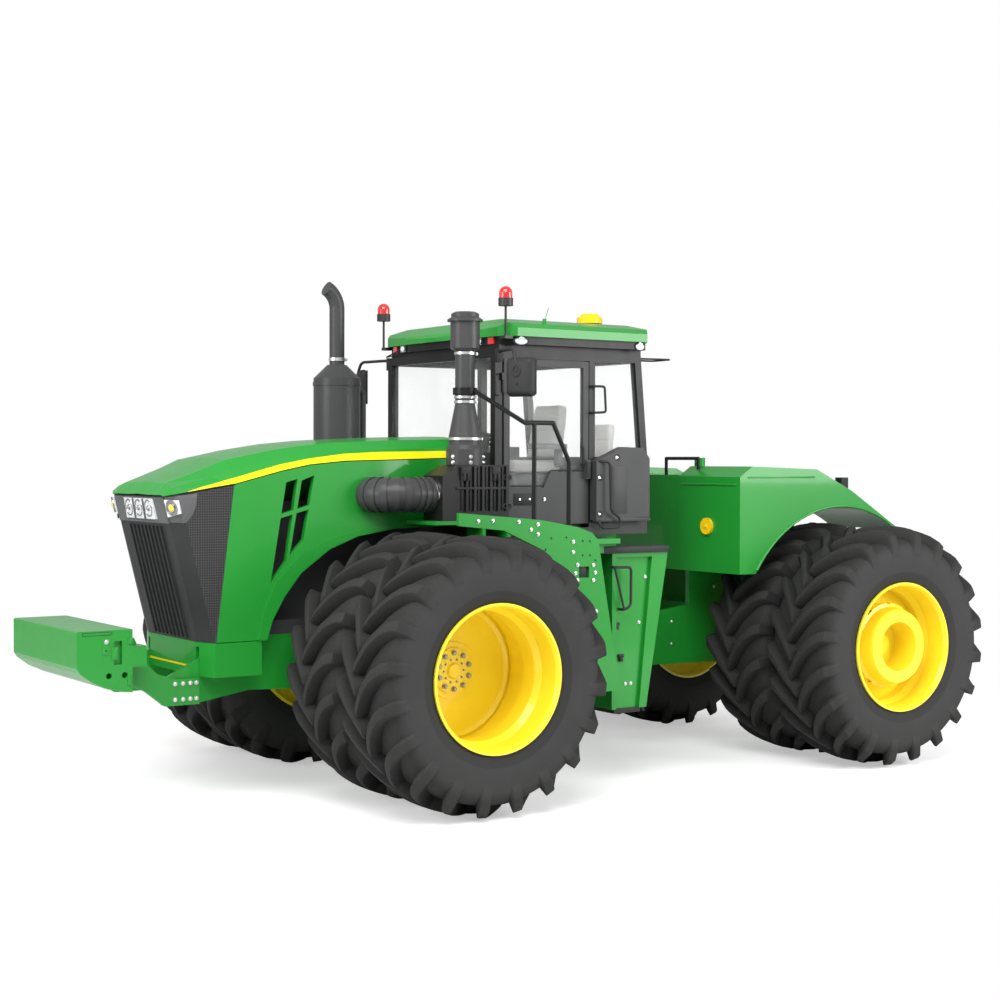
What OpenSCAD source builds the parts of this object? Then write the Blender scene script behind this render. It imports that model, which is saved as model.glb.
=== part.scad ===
// Articulated four wheel drive farm tractor on dual wheels.
// X points forward, Y to the left, Z up. The ground is Z = 0, and the origin lies under the middle of the box.
// Inside the modules X = 0 is the steering pivot, half way between the axles, and place() moves it.

/* [Wheels] */
// Distance between the two axles
wheelbase = 4180; // [3600:10:4600]
// Radius over the tread lugs
tyre_r = 1038; // [940:1:1140]
// Width of one tyre
tyre_w = 710; // [520:10:800]
// Radius over the rim flange
rim_r = 556; // [480:1:600]
// Middle of the inner tyre from the centre line
inner_y = 1025; // [1000:5:1100]
// Middle to middle of the two tyres of a dual
dual_step = 785; // [720:5:900]
// Lugs on each side of a tyre
lugs = 24; // [18:1:28]
// Axle spindle radius
spindle_r = 90; // [70:1:120]

/* [Front unit] */
// Front face of the front weight, ahead of the pivot
weight_front = 4741; // [4600:10:4900]
// Half width of the front weight
weight_half = 681; // [500:10:700]
// Half width over the hood sides
hood_half = 650; // [560:5:680]
// Front lip of the hood, ahead of the pivot
hood_front = 4007; // [3985:1:4060]
// Half width of the cab
cab_half = 860; // [760:5:900]
// Roof overhang past the cab side
roof_over = 140; // [100:5:200]
// Top of the cab posts
post_top = 3507; // [3400:1:3600]
// Cab floor height
floor_z = 1980; // [1960:5:2040]
// Outer face of the left and right walkways
walk_y = 1600; // [1560:5:1650]

/* [Rear unit] */
// Front face of the rear tanks, behind the pivot
tank_front = 890; // [880:5:960]
// Outer face of the rear fenders
tank_y = 1380; // [1300:5:1400]
// Top of the rear tanks
tank_top = 2556; // [2500:1:2640]
// Rear end of the drawbar, behind the pivot
rear_end = 3350; // [3150:10:3600]
// Drawbar pin hole radius
drawbar_pin_r = 36; // [25:1:45]

/* [Steering] */
// Front eye of a steering cylinder, ahead of the pivot
cyl_front = 700; // [600:5:800]
// Rod eye of a steering cylinder, behind the pivot
cyl_rear = 250; // [200:5:350]
// Steering cylinders from the centre line
cyl_y = 338; // [320:1:345]
// Height of the steering cylinders and the yoke
yoke_z = 1000; // [950:5:1050]

/* [Clearances] */
// Radial gap of a turning fit
turn_gap = 0.3; // [0.1:0.1:1]
// Gap round the doors and lids
door_gap = 8; // [5:1:12]

/* [Hidden] */
$fn = 48;
x_mid = (weight_front - rear_end) / 2;
axle_x = wheelbase / 2;
axle_z = 1008;
grow = tyre_r - axle_z;
rise = max(0, tyre_r - 1038);
deck_z = floor_z + rise;
roof_half = cab_half + roof_over;
outer_y = inner_y + dual_step;
cyl_rest = cyl_front + cyl_rear;
rail_in = 440;
rail_out = 480;
weight_rear = weight_front - 421;
post_a = 1217;
post_b = 333;
cab_rear = -291;
door_front = 1207;
door_rear = post_b + door_gap;
hinge_y = cab_half + 12;
door_low = floor_z + 95;
hood_rear = 1340;
lid_x = 1420;
lid_z = 2690;
roof_low = 3608;
shelf_z = 2125;
shelf_x = post_a + 75;
walk_front = axle_x - 530;
stack_x = 1620;
stack_y = 930;
stack_r = 79;
nose_top = 3988;
nose_low = 3715;
nose_half = 485;
muffler_x = 1795;
muffler_y = 870;
hose_x = 1918;
hub_in = inner_y - 385;
hub_face = inner_y - 175;

// Lid stations from the nose to the cab: X, edge half width, edge Z, crease half width, crease Z, crown Z.
lid = [[hood_front, nose_half + 5, 2327, 400, 2336, 2340], [3945, hood_half, 2350, 388, 2420, 2432],
  [3652, hood_half, 2398, 420, 2528, 2545], [3480, hood_half, 2424, 447, 2600, 2618],
  [3100, hood_half, 2520, 480, 2676, 2697], [2858, hood_half, 2568, 495, 2712, 2734],
  [2543, hood_half, 2597, 510, 2740, 2763], [2000, hood_half, 2611, 526, 2763, 2788],
  [lid_x, hood_half, 2628, 540, 2777, 2802]];

// Front of the grille at a height.
function nose_x(z) = nose_low + (z - 1225) * (nose_top - nose_low) / 1093;

green = [0.05, 0.42, 0.10];
yellow = [0.98, 0.80, 0.02];
black = [0.07, 0.07, 0.07];
grey = [0.25, 0.26, 0.27];

// Moves a piece from the pivot frame to the part's own frame. Heights are those of the standard tyre.
module place() translate([-x_mid, 0, grow]) children();

// Moves a piece above the wheels, which larger tyres lift further.
module raised() place() translate([0, 0, rise]) children();

// Draws a piece on both sides.
module both() {
  children();
  mirror([0, 1, 0]) children();
}

// Box between two values on each axis.
module blk(x, y, z) translate([x[0], y[0], z[0]]) cube([x[1] - x[0], y[1] - y[0], z[1] - z[0]]);

// Plate drawn in side view, with points [x, z].
module side_plate(pts, y) translate([0, y[1], 0]) rotate([90, 0, 0]) linear_extrude(y[1] - y[0]) polygon(pts);

// Plate drawn in top view, with points [x, y].
module top_plate(pts, z) translate([0, 0, z[0]]) linear_extrude(z[1] - z[0]) polygon(pts);

// Plate drawn in front view, with points [y, z].
module front_plate(pts, x) translate([x[0], 0, 0]) rotate([90, 0,
  90]) linear_extrude(x[1] - x[0]) polygon(pts);

// Round pieces along each axis.
module pin_x(y, z, r, x) translate([x[0], y, z]) rotate([0, 90, 0]) cylinder(r = r, h = x[1] - x[0]);
module pin_y(x, z, r, y) translate([x, y[0], z]) rotate([-90, 0, 0]) cylinder(r = r, h = y[1] - y[0]);
module pin_z(x, y, r, z) translate([x, y, z[0]]) cylinder(r = r, h = z[1] - z[0]);

// Round bar from one point to another.
module bar(p, q, r) {
  v = q - p;
  translate(p) rotate([0, acos(v[2] / norm(v)), atan2(v[1], v[0])]) cylinder(r = r, h = norm(v));
}

// Bent tube through a list of points, with ball corners.
module tube(pts, r) {
  for (i = [0 : len(pts) - 2]) bar(pts[i], pts[i + 1], r);
  for (i = [1 : len(pts) - 2]) translate(pts[i]) sphere(r = r + 0.6);
}

// Curved sheet between two families of lines of points, one list for each station.
module sheet(outer, inner) {
  m = len(outer);
  n = len(outer[0]);
  pts = concat([for (s = outer) for (p = s) p], [for (s = inner) for (p = s) p]);
  o = m * n;
  faces = concat(
    [for (s = [0 : m - 2]) for (i = [0 : n - 2]) each [
      [s * n + i, s * n + i + 1, (s + 1) * n + i + 1], [s * n + i, (s + 1) * n + i + 1, (s + 1) * n + i],
      [o + s * n + i, o + (s + 1) * n + i + 1, o + s * n + i + 1],
      [o + s * n + i, o + (s + 1) * n + i, o + (s + 1) * n + i + 1]]],
    [for (s = [0 : m - 2]) each [
      [s * n, (s + 1) * n, o + (s + 1) * n], [s * n, o + (s + 1) * n, o + s * n],
      [s * n + n - 1, o + (s + 1) * n + n - 1, (s + 1) * n + n - 1],
      [s * n + n - 1, o + s * n + n - 1, o + (s + 1) * n + n - 1]]],
    [for (i = [0 : n - 2]) each [
      [i, o + i + 1, i + 1], [i, o + i, o + i + 1],
      [(m - 1) * n + i, (m - 1) * n + i + 1, o + (m - 1) * n + i + 1],
      [(m - 1) * n + i, o + (m - 1) * n + i + 1, o + (m - 1) * n + i]]]);
  polyhedron(points = pts, faces = [for (f = faces) [f[0], f[2], f[1]]]);
}

// Front unit chassis

// Frame rails, hinge plates, cab towers and walkway beams of the front unit.
module front_chassis() color(green) place() {
  both() difference() {
    side_plate([[3724, 766], [4002, 766], [4002, 957], [3704, 1099], [3628, 1185], [3426, 1185], [3388, 1250],
      [430, 1250], [430, 730], [1000, 730], [1500, 760], [3300, 836]], [rail_in, rail_out]);
    pin_y(axle_x, axle_z, 200 + turn_gap, [rail_in - 1, rail_out + 1]);
  }
  blk([3440, 3540], [-rail_in, rail_in], [880, 1150]);
  blk([1150, 1230], [-rail_in, rail_in], [900, 1250]);
  for (z = [[740, 800], [1190, 1250]]) difference() {
    union() {
      blk([430, 1150], [-rail_in, rail_in], z);
      top_plate([[0, -170], [0, 170], [430, 300], [430, -300]], z);
      pin_z(0, 0, 170, z);
    }
    pin_z(0, 0, 50 + turn_gap, [z[0] - 1, z[1] + 1]);
  }
  blk([470, 540], [-225, 225], [799, 1191]);
  both() pin_z(cyl_front, cyl_y, 30, [799, 1191]);
  both() side_plate([[1250, 1249], [430, 1249], [cab_rear + 10, 1460], [cab_rear + 10, deck_z], [1250,
    deck_z]],
    [rail_in - 50, rail_in]);
  blk([1170, 1250], [-rail_in + 49, rail_in - 49], [1500, deck_z]);
  for (x = [660, 1130]) both() blk([x, x + 100], [rail_in - 1, walk_y - 100], [deck_z - 120, deck_z - 40]);
  blk([60, 140], [rail_in - 1, 1400], [deck_z - 240, deck_z - 160]);
}

// Axle housing with its differential and spindles.
module axle_housing() {
  rotate([-90, 0, 0]) {
    translate([0, 0, -hub_in + 15]) cylinder(r = 200, h = 2 * hub_in - 30);
    translate([0, 0, -hub_face + 20]) cylinder(r = spindle_r, h = 2 * hub_face - 40);
    rotate_extrude() polygon([[0, -230], [250, -230], [330, -110], [330, 110], [250, 230], [0, 230]]);
  }
}

module front_axle() color(green) place() translate([axle_x, 0, axle_z]) axle_housing();

module rear_axle() color(green) place() translate([-axle_x, 0, axle_z]) axle_housing();

// Engine as one plain block at its real place, on its rail feet.
module engine_block() color(black) raised() {
  blk([1560, 3250], [-350, 350], [1360, 2280]);
  both() blk([1560, 3250], [240, rail_out], [1250 - rise, 1361]);
}

module cooling_pack() color(black) raised() blk([3270, 3385], [-480, 480], [1250 - rise, 2340]);

// Cast front weight with a curved belly, lifting slots and pin holes.
module front_weight() color(green) place() difference() {
  side_plate([[weight_front, 1364], [weight_front, 1106], [weight_front - 24, 1068], [weight_front - 114,
    1000],
    [weight_front - 229, 946], [weight_front - 344, 919], [weight_rear, 912], [weight_rear, 1370],
    [weight_front - 15, 1370]], [-weight_half, weight_half]);
  both() blk([weight_rear + 80, weight_rear + 140], [weight_half - 30, weight_half + 1], [1120, 1290]);
  both() pin_y(weight_rear + 60, 1040, 22, [weight_half - 60, weight_half + 1]);
  both() pin_y(weight_rear + 180, 1040, 22, [weight_half - 60, weight_half + 1]);
}

// Carrier arms between the frame rails and the weight.
module weight_bracket() color(green) place() {
  wr = weight_rear;
  both() side_plate([[wr, 1290], [wr, 960], [4156, 885], [4002, 764], [3724, 764], [3724, 957],
    [3916, 962], [4060, 1010], [4166, 1110], [4242, 1290]], [rail_out, rail_out + 40]);
  blk([wr - 40, wr], [-rail_out - 1, rail_out + 1], [980, 1280]);
  both() blk([wr - 110, wr], [rail_out + 39, weight_half], [1095, 1245]);
}

// Lower nose below the grille.
module nose_skirt() color(green) raised() {
  n = nose_half - 20;
  difference() {
    top_plate([[3269, hood_half], [3656, hood_half], [nose_low + 3, n], [nose_low + 3, -n], [3656,
      -hood_half],
      [3269, -hood_half]], [967, 1224.7]);
    top_plate([[3268, hood_half - 50], [3616, hood_half - 50], [nose_low - 41, n - 30], [nose_low - 41,
      30 - n],
      [3616, 50 - hood_half], [3268, 50 - hood_half]], [900, 1226]);
    both() blk([3200, 3740], [rail_in - 5, rail_out + 5], [900, 1190]);
  }
  blk([3440, 3665], [45 - hood_half, hood_half - 45], [1195, 1215]);
}

// Raked grille with chamfered corners, side screens and upright ribs.
module grille() color(black) raised() {
  h = hood_half;
  n = nose_half;
  out = [[[3500, h - 2, 2408], [3935, h - 4, 2336], [nose_top, n, 2318], [nose_top, -n, 2318], [3935, 4 - h,
    2336],
    [3500, 2 - h, 2408]], [[3645, h, 1225], [3656, h - 4, 1225], [nose_low, n - 20, 1225], [nose_low,
      20 - n, 1225],
    [3656, 4 - h, 1225], [3645, -h, 1225]]];
  inn = [for (s = out) [s[0] - [0, 45, 0], s[1] - [20, 45, 0], s[2] - [50, 16, 0], s[3] - [50, -16, 0],
    s[4] - [20, -45, 0], s[5] + [0, 45, 0]]];
  sheet(out, inn);
  for (i = [-4 : 4]) translate([nose_x(1250) - 16, i * 74, 1250])
    rotate([0, atan2(nose_top - nose_low, 1093), 0]) translate([0, -8, 0]) cube([32, 16, 880]);
}

// Three lamp cells under the hood lip and a lamp on each chamfered corner.
module headlamps() color([0.9, 0.9, 0.92]) raised() {
  for (i = [-1 : 1]) side_plate([[nose_x(2150) + 0.3, 2150], [nose_x(2306) + 0.3, 2306], [4000, 2306],
    [nose_x(2150) + 26, 2150]], [i * 190 - 91, i * 190 + 91]);
  both() corner_lamp();
}

module corner_lamp() {
  function at(f, z, d) = let (k = (z - 1225) / 1093, c = [nose_low + k * (nose_top - nose_low),
    nose_half - 20 + 20 * k],
    b = [3656 + k * (3936.5 - 3656), hood_half - 4]) [c[0] + f * (b[0] - c[0]) + d * 0.95,
    c[1] + f * (b[1] - c[1]) + d * 0.31, z];
  polyhedron(points = [for (d = [0.5, 24]) each [at(0.08, 2170, d), at(0.92, 2200, d), at(0.92, 2300, d),
    at(0.08, 2302, d)]], faces = [[0, 1, 2, 3], [7, 6, 5, 4], [0, 4, 5, 1], [1, 5, 6, 2], [2, 6, 7, 3], [3,
      7, 4, 0]]);
}

// Hood side panels, one for each side, with their vents, wheel arch and raised flare.
module hood_sides() color(green) raised() {
  hood_panels();
  blk([hood_rear, hood_rear + 50], [44 - hood_half, hood_half - 44], [2520, 2600]);
  both() for (y = [250, 320]) difference() {
    side_plate([[hood_rear, 2599], [hood_rear + 50, 2599], [lid_x + 18, lid_z - 10], [lid_x + 18, lid_z + 16],
      [lid_x - 18, lid_z + 16], [hood_rear, 2620]], [y, y + 22]);
    pin_y(lid_x, lid_z, 10 + turn_gap, [y - 1, y + 23]);
  }
}

module hood_panels() both() {
  arch = [[1340, 2080], [1775, 2066], [2109, 2056], [2435, 2005], [2690, 1909], [2940, 1731], [3083, 1552],
    [3185, 1374], [3230, 1230]];
  flare = [[3300, 1230], [3245, 1484], [3144, 1681], [2940, 1876], [2648, 1999], [2328, 2077], [1999, 2118],
    [1560, 2140], [1340, 2145]];
  difference() {
    side_plate(concat([[3644, 1230], [3499, 2406]], [for (i = [3 : 8]) [lid[i][0], lid[i][2] - door_gap]],
      [[hood_rear, lid[8][2] - door_gap]], arch), [hood_half - 45, hood_half]);
    difference() {
      union() {
        side_plate([[3063, 2429], [2965, 2456], [3063, 1824], [3195, 1664]], [hood_half - 60,
        hood_half + 10]);
        side_plate([[2930, 2443], [2820, 2483], [2915, 1986], [3033, 1869]], [hood_half - 60,
        hood_half + 10]);
      }
      side_plate([[3130, 2150], [3130, 2182], [2860, 2254], [2860, 2222]], [hood_half - 70, hood_half + 20]);
    }
  }
  side_plate(concat(arch, flare), [hood_half - 1, hood_half + 12]);
}

// Lid over the engine, lofted through its stations, with a crease along each side.
module hood_top() color(green) raised() {
  out = [for (s = lid) [[s[0], -s[1], s[2]], [s[0], -(s[1] + s[3]) / 2 - 12, (s[2] + s[4]) / 2 + 6],
    [s[0], -s[3], s[4]], [s[0], -s[3] / 2, s[5] - 5], [s[0], 0, s[5]], [s[0], s[3] / 2, s[5] - 5],
    [s[0], s[3], s[4]], [s[0], (s[1] + s[3]) / 2 + 12, (s[2] + s[4]) / 2 + 6], [s[0], s[1], s[2]]]];
  inn = [for (i = [0 : 8]) let (s = lid[i], x = i == 0 ? s[0] - 24 : s[0], d = i == 0 ? 4 : 22)
    [[x, 22 - s[1], s[2]], [x, -(s[1] + s[3]) / 2 + 10, (s[2] + s[4]) / 2 - d / 4],
    [x, 14 - s[3], s[4] - d], [x, -s[3] / 2, s[5] - 5 - d], [x, 0, s[5] - d], [x, s[3] / 2, s[5] - 5 - d],
    [x, s[3] - 14, s[4] - d], [x, (s[1] + s[3]) / 2 - 10, (s[2] + s[4]) / 2 - d / 4], [x, s[1] - 22, s[2]]]];
  sheet(out, inn);
  both() {
    side_plate([[lid_x - 14, lid_z - 10], [lid_x + 14, lid_z - 10], [lid_x + 130, lid_z + 50],
      [lid_x + 130, lid_z + 95], [lid_x + 5, lid_z + 95]], [282, 310]);
    pin_y(lid_x, lid_z, 10, [246, 346]);
  }
}

// Air cleaner housing with its ribs, on the walkway shelf.
module air_cleaner() color(black) raised() {
  side_plate([[shelf_x, shelf_z], [hose_x, shelf_z], [hose_x, 2480], [1760, 2565], [shelf_x, 2565]], [790,
    1075]);
  for (i = [0 : 5]) blk([1310 + i * 76, 1332 + i * 76], [1074, 1094], [2200, 2555]);
}

// Intake stack with its flared base, neck and rain cap.
module intake_stack() color(black) raised() translate([stack_x, stack_y, 0]) rotate_extrude()
  polygon([[0, 2565], [150, 2565], [152, 2690], [130, 2725], [130, 2790], [stack_r, 3051], [stack_r, 3468],
    [118, 3490], [118, 3704], [142, 3704], [142, 3720], [112, 3740], [112, 3766], [84, 3781], [0, 3781]]);

// Ribbed hose from the air cleaner into the hood side.
module intake_hose() color(black) raised() {
  translate([hose_x, hood_half + 240.3, 2330]) rotate([0, 90, 0]) {
    cylinder(r = 130, h = 172);
    for (x = [20, 75, 130]) translate([0, 0, x]) cylinder(r = 140, h = 32);
  }
  translate([2090, hood_half + 0.3, 2330]) {
    rotate_extrude(angle = 90) translate([240, 0]) circle(r = 130);
    for (a = [8, 24, 40, 56, 72]) rotate([0, 0, a]) rotate_extrude(angle = 8) translate([240,
      0]) circle(r = 140);
  }
}

// Exhaust silencer on the right walkway shelf.
module exhaust_muffler() color(black) raised() translate([muffler_x, -muffler_y, 0]) {
  translate([0, 0, shelf_z]) cylinder(r = 80, h = 125);
  translate([0, 0, 2230]) cylinder(r = 205, h = 1085);
  translate([0, 0, 3314]) cylinder(r1 = 205, r2 = 85, h = 118);
  for (z = [2330, 3250]) translate([0, 0, z]) cylinder(r = 211, h = 30);
  tube([[-200, 0, 3270], [-262, 0, 3180], [-262, 0, shelf_z]], 26);
}

module exhaust_pipe() color(black) raised() translate([muffler_x, -muffler_y, 0]) {
  translate([0, 0, 3432]) cylinder(r = 66, h = 488);
  translate([200, 0, 3920]) rotate([90, 0, 180]) rotate_extrude(angle = 62) translate([200,
    0]) circle(r = 66);
}

// Cab

// Floor and lower walls.
module cab_base() color(black) raised() {
  blk([cab_rear, post_a + 60], [-cab_half, cab_half], [floor_z, floor_z + 60]);
  blk([post_a + 10, post_a + 55], [-cab_half + 70, cab_half - 70], [floor_z + 59, 2665]);
  both() blk([cab_rear, post_b - 60], [cab_half - 50, cab_half], [floor_z + 59, 2636]);
  mirror([0, 1, 0]) blk([post_b, post_a], [cab_half - 50, cab_half], [floor_z + 59, 2275]);
  side_plate([[post_b - 12, 2100], [post_b - 12, 2597], [34, 2719], [-173, 2712], [-246, 2622], [-246, 2124]],
    [cab_half, cab_half + 90]);
  blk([cab_rear, cab_rear + 40], [-cab_half + 49, cab_half - 49], [floor_z + 59, 2636]);
}

// Posts and the ring that carries the roof.
module cab_posts() color(black) raised() {
  both() {
    blk([post_a, post_a + 67], [cab_half - 70, cab_half], [floor_z + 60, post_top]);
    blk([post_b - 60, post_b], [cab_half - 70, cab_half], [floor_z + 60, post_top]);
    side_plate([[cab_rear, 2636], [cab_rear + 67, 2636], [cab_rear + 144, post_top], [cab_rear + 77,
      post_top]],
      [cab_half - 70, cab_half]);
    blk([cab_rear + 110, post_a + 5], [cab_half - 70, cab_half], [post_top - 70, post_top]);
    for (z = [2372, 3253])
      blk([door_front - 8, door_front + 25], [cab_half, cab_half + 24], [z + turn_gap, z + 60]);
  }
  blk([post_a, post_a + 67], [-cab_half + 69, cab_half - 69], [post_top - 70, post_top]);
  blk([cab_rear + 77, cab_rear + 144], [-cab_half + 69, cab_half - 69], [post_top - 70, post_top]);
}

// Dark tray under the roof.
module roof_tray() color(black) raised() {
  blk([cab_rear + 77, post_a + 30], [-cab_half, cab_half], [post_top, 3546]);
  top_plate([[-225, 90 - roof_half], [-165, 45 - roof_half], [1140, 45 - roof_half], [1240, 130 - roof_half],
    [1285, -480], [1285, 480], [1240, roof_half - 130], [1140, roof_half - 45], [-165, roof_half - 45],
      [-225, roof_half - 90]],
    [3545, roof_low]);
}

// Crowned roof cap.
module cab_roof() color(green) raised() intersection() {
  front_plate([[-roof_half, roof_low], [-roof_half, 3676], [60 - roof_half, 3718], [-700, 3768], [-350, 3797],
    [0, 3806], [350, 3797], [700, 3768], [roof_half - 60, 3718], [roof_half, 3676], [roof_half, roof_low]],
    [-400, 1400]);
  top_plate([[-272, 140 - roof_half], [-176, -roof_half], [1159, -roof_half], [1275, 120 - roof_half],
    [1313, -480],
    [1322, 0], [1313, 480], [1275, roof_half - 120], [1159, roof_half], [-176, roof_half], [-272,
      roof_half - 140]],
    [roof_low, 3900]);
  side_plate([[-272, roof_low], [-272, 3684], [-176, 3772], [74, 3806], [842, 3806], [1150, 3758], [1294,
    3674],
    [1322, 3642], [1322, roof_low]], [-1200, 1200]);
}

module roof_lamps() color([0.9, 0.9, 0.9]) raised() both() {
  for (x = [1100, -125]) pin_y(x, 3578, 28, [roof_half - 45, roof_half - 31]);
  top_plate([[1274.8, 570], [1266.7, 640], [1284, 640], [1291, 570]], [3550, 3604]);
}

// Beacons on stems at the front corners of the roof.
module beacons() color([0.8, 0.05, 0.05]) raised() both() {
  top_plate([[1256.4, 730], [1248.3, 800], [1265, 800], [1272, 730]], [3550, 3604]);
  translate([1262, roof_half - 24, 0]) {
    blk([-62, 14], [-66, 14], [roof_low - 24, roof_low]);
    pin_z(0, 0, 10, [roof_low - 1, 3846]);
    pin_z(0, 0, 60, [3845, 3908]);
    pin_z(0, 0, 54, [3907, 3950]);
    translate([0, 0, 3950]) sphere(r = 54);
  }
}

module roof_dome() color(yellow) raised() translate([-40, 360, 3799]) {
  cylinder(r = 112, h = 46);
  translate([0, 0, 46]) cylinder(r1 = 112, r2 = 66, h = 38);
}

// Fixed windows.
module cab_glass() color([0.7, 0.8, 0.8, 0.4]) raised() {
  blk([post_a + 28, post_a + 36], [-cab_half + 70, cab_half - 70], [2665, post_top - 70]);
  mirror([0, 1, 0]) blk([post_b, post_a], [cab_half - 40, cab_half - 32], [2275, post_top - 70]);
  both() side_plate([[post_b - 60, 2636], [post_b - 60, post_top - 70], [cab_rear + 139, post_top - 70],
    [cab_rear + 68, 2636]], [cab_half - 40, cab_half - 32]);
  side_plate([[cab_rear + 26, 2636], [cab_rear + 34, 2636], [cab_rear + 110, post_top - 70],
    [cab_rear + 102, post_top - 70]], [-cab_half + 70, cab_half - 70]);
}

// Left door, hung on the front post, with its lower panel.
module door_window(y) side_plate([[door_rear + 55, 2508], [735, 2508], [800, 2380], [door_front - 67, 2380],
  [door_front - 67, post_top - 131], [door_rear + 55, post_top - 131]], y);

module door_frame() color(black) raised() {
  top = post_top - 76;
  difference() {
    side_plate([[door_rear, door_low], [door_front - 12, door_low], [door_front - 12, top],
      [door_rear, top]], [cab_half - 45, cab_half]);
    door_window([cab_half - 46, cab_half + 1]);
  }
  for (z = [2272, 3153]) {
    pin_z(door_front, hinge_y, 12, [z, z + 100]);
    blk([door_front - 40, door_front], [cab_half - 1, hinge_y + 6], [z, z + 100]);
  }
  blk([door_rear + 2, door_rear + 52], [cab_half - 1, cab_half + 40], [2450, 2607]);
}

module door_glass() color([0.7, 0.8, 0.8, 0.4]) raised() door_window([cab_half - 28, cab_half - 20]);

module operator_seat() color([0.8, 0.8, 0.8]) raised() {
  blk([170, 679], [-260, 260], [2489, 2607]);
  side_plate([[170, 2606], [285, 2606], [170, 3204], [74, 3204]], [-250, 250]);
}

module second_seat() color([0.8, 0.8, 0.8]) raised() {
  blk([-51, 304], [400, 720], [2372, 2460]);
  side_plate([[-51, 2459], [26, 2459], [-22, 2940], [-99, 2940]], [420, 700]);
}

// Steering column with its wheel.
module steering_column() color(black) raised() {
  difference() {
    bar([1085, 0, floor_z - 20], [823, 0, 2763], 50);
    blk([900, 1250], [-100, 100], [floor_z - 120, floor_z + 60]);
  }
  translate([814, 0, 2790]) rotate([0, -19, 0]) {
    rotate_extrude() translate([200, 0]) circle(r = 16);
    for (a = [0, 120, 240]) rotate([0, 90, a]) cylinder(r = 14, h = 195);
    translate([0, 0, -40]) cylinder(r = 45, h = 55);
  }
}

// Seat boxes and the arm console.
module console() color(grey) raised() {
  blk([208, 641], [-190, 190], [floor_z + 60, 2489]);
  blk([-41, 295], [430, 690], [floor_z + 60, 2372]);
  blk([247, 765], [-520, -300], [floor_z + 60, 2724]);
}

module mirrors() color(black) raised() both() {
  bar([post_a + 50, cab_half + 22, 3390], [1315, 1230, 3350], 16);
  blk([post_a + 38, post_a + 66], [cab_half, cab_half + 24], [3370, 3410]);
  blk([1295, 1335], [1130, 1330], [3067, 3365]);
}

// Handrail on the left walkway, clamped to the intake stack.
module left_rail() color(black) raised() {
  y = walk_y - 34;
  tube([[stack_x - 36.4, stack_y + 88.3, 3150], [1484, y, 2894], [1212, y, 2894], [1058, y, 2596],
    [1058, y, floor_z]], 18);
  bar([1391, y, 2894], [1391, y, floor_z], 18);
  translate([stack_x, stack_y, 3122]) difference() {
    cylinder(r = stack_r + 18, h = 56);
    translate([0, 0, -1]) cylinder(r = stack_r + turn_gap, h = 58);
  }
}

// Walkway beside the cab, with its raised shelf and the fender plate.
module walkway() {
  blk([560, walk_front], [cab_half + 10, walk_y - 15], [floor_z - 40, floor_z]);
  blk([shelf_x, 2000], [hood_half + 20, 1100], [shelf_z - 30, shelf_z]);
  for (x = [shelf_x + 30, walk_front]) blk([x - 30, x], [cab_half + 10, 1100], [floor_z - 1, shelf_z - 29]);
  translate([axle_x, 0, 0]) difference() {
    side_plate([[22, 2206], [-731, 2141], [-1090, 2080], [-1230, 2030], [-1290, 1970],
      [-1376, 1494], [-1510, 766], [-1315, 766], [-1125, 1400], [-970, 1700], [-770, 1900], [-390, 2066],
      [22, 2108]], [walk_y - 16, walk_y + 14]);
    blk([-1200, -1100], [walk_y - 17, walk_y + 15], [1680, 1768]);
  }
}

module left_walkway() color(green) raised() walkway();

module right_walkway() color(green) raised() mirror([0, 1, 0]) walkway();

// Ladder behind the left fender plate, narrow at the foot so that the rear wheel clears it.
module ladder() color(green) raised() {
  top = floor_z - 120;
  foot = 205;
  blk([-10, 559], [cab_half + 20, 1480], [top - 40, top]);
  side_plate([[-10, top - 39], [36, top - 39], [foot + 46, 590], [foot, 590]], [1190, 1480]);
  side_plate([[514, top - 39], [559, top - 39], [559, 590], [514, 590]], [1190, 1480]);
  side_plate([[30, top - 39], [520, top - 39], [520, 591], [foot + 40, 591]], [1436, 1450]);
  side_plate([[-10, top - 39], [150, top - 39], [foot + 74, 591], [foot, 591]], [1449, 1480]);
  for (i = [0 : 3]) {
    z = 610 + i * 300;
    f = (z - 590) / (top - 629);
    blk([foot + 30 - (foot + 10) * f, 520], [1200, 1437], [z, z + 35]);
  }
}

// Steering

// Yoke between the two units, with the pivot pins, the rear trunnion and the rod ears.
module hinge_yoke() color(green) place() {
  pin_z(0, 0, 50, [735, 1255]);
  pin_z(0, 0, 135, [806, 1184]);
  blk([-400, -60], [-130, 130], [yoke_z - 140, yoke_z + 140]);
  pin_x(0, yoke_z, 150, [-820, -395]);
  for (z = [[yoke_z - 75, yoke_z - 40], [yoke_z + 40, yoke_z + 75]]) {
    both() top_plate([[-380, 100], [-330, cyl_y + 40], [-225, cyl_y + 50], [-195, cyl_y], [-160, 100]], z);
  }
}

// Barrel of a steering cylinder, along X from its front eye.
module barrel() {
  difference() {
    union() {
      pin_z(0, 0, 58, [-32, 32]);
      pin_x(0, 0, 50, [-560, -40]);
    }
    pin_z(0, 0, 30 + turn_gap, [-60, 60]);
    pin_x(0, 0, 28 + turn_gap, [-561, -85]);
  }
}

// Rod with its open eye.
module rod() {
  difference() {
    union() {
      pin_x(0, 0, 28, [-cyl_rest + 40, -345]);
      pin_z(-cyl_rest, 0, 52, [-30, 30]);
    }
    pin_z(-cyl_rest, 0, 28, [-40, 40]);
  }
}

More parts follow.
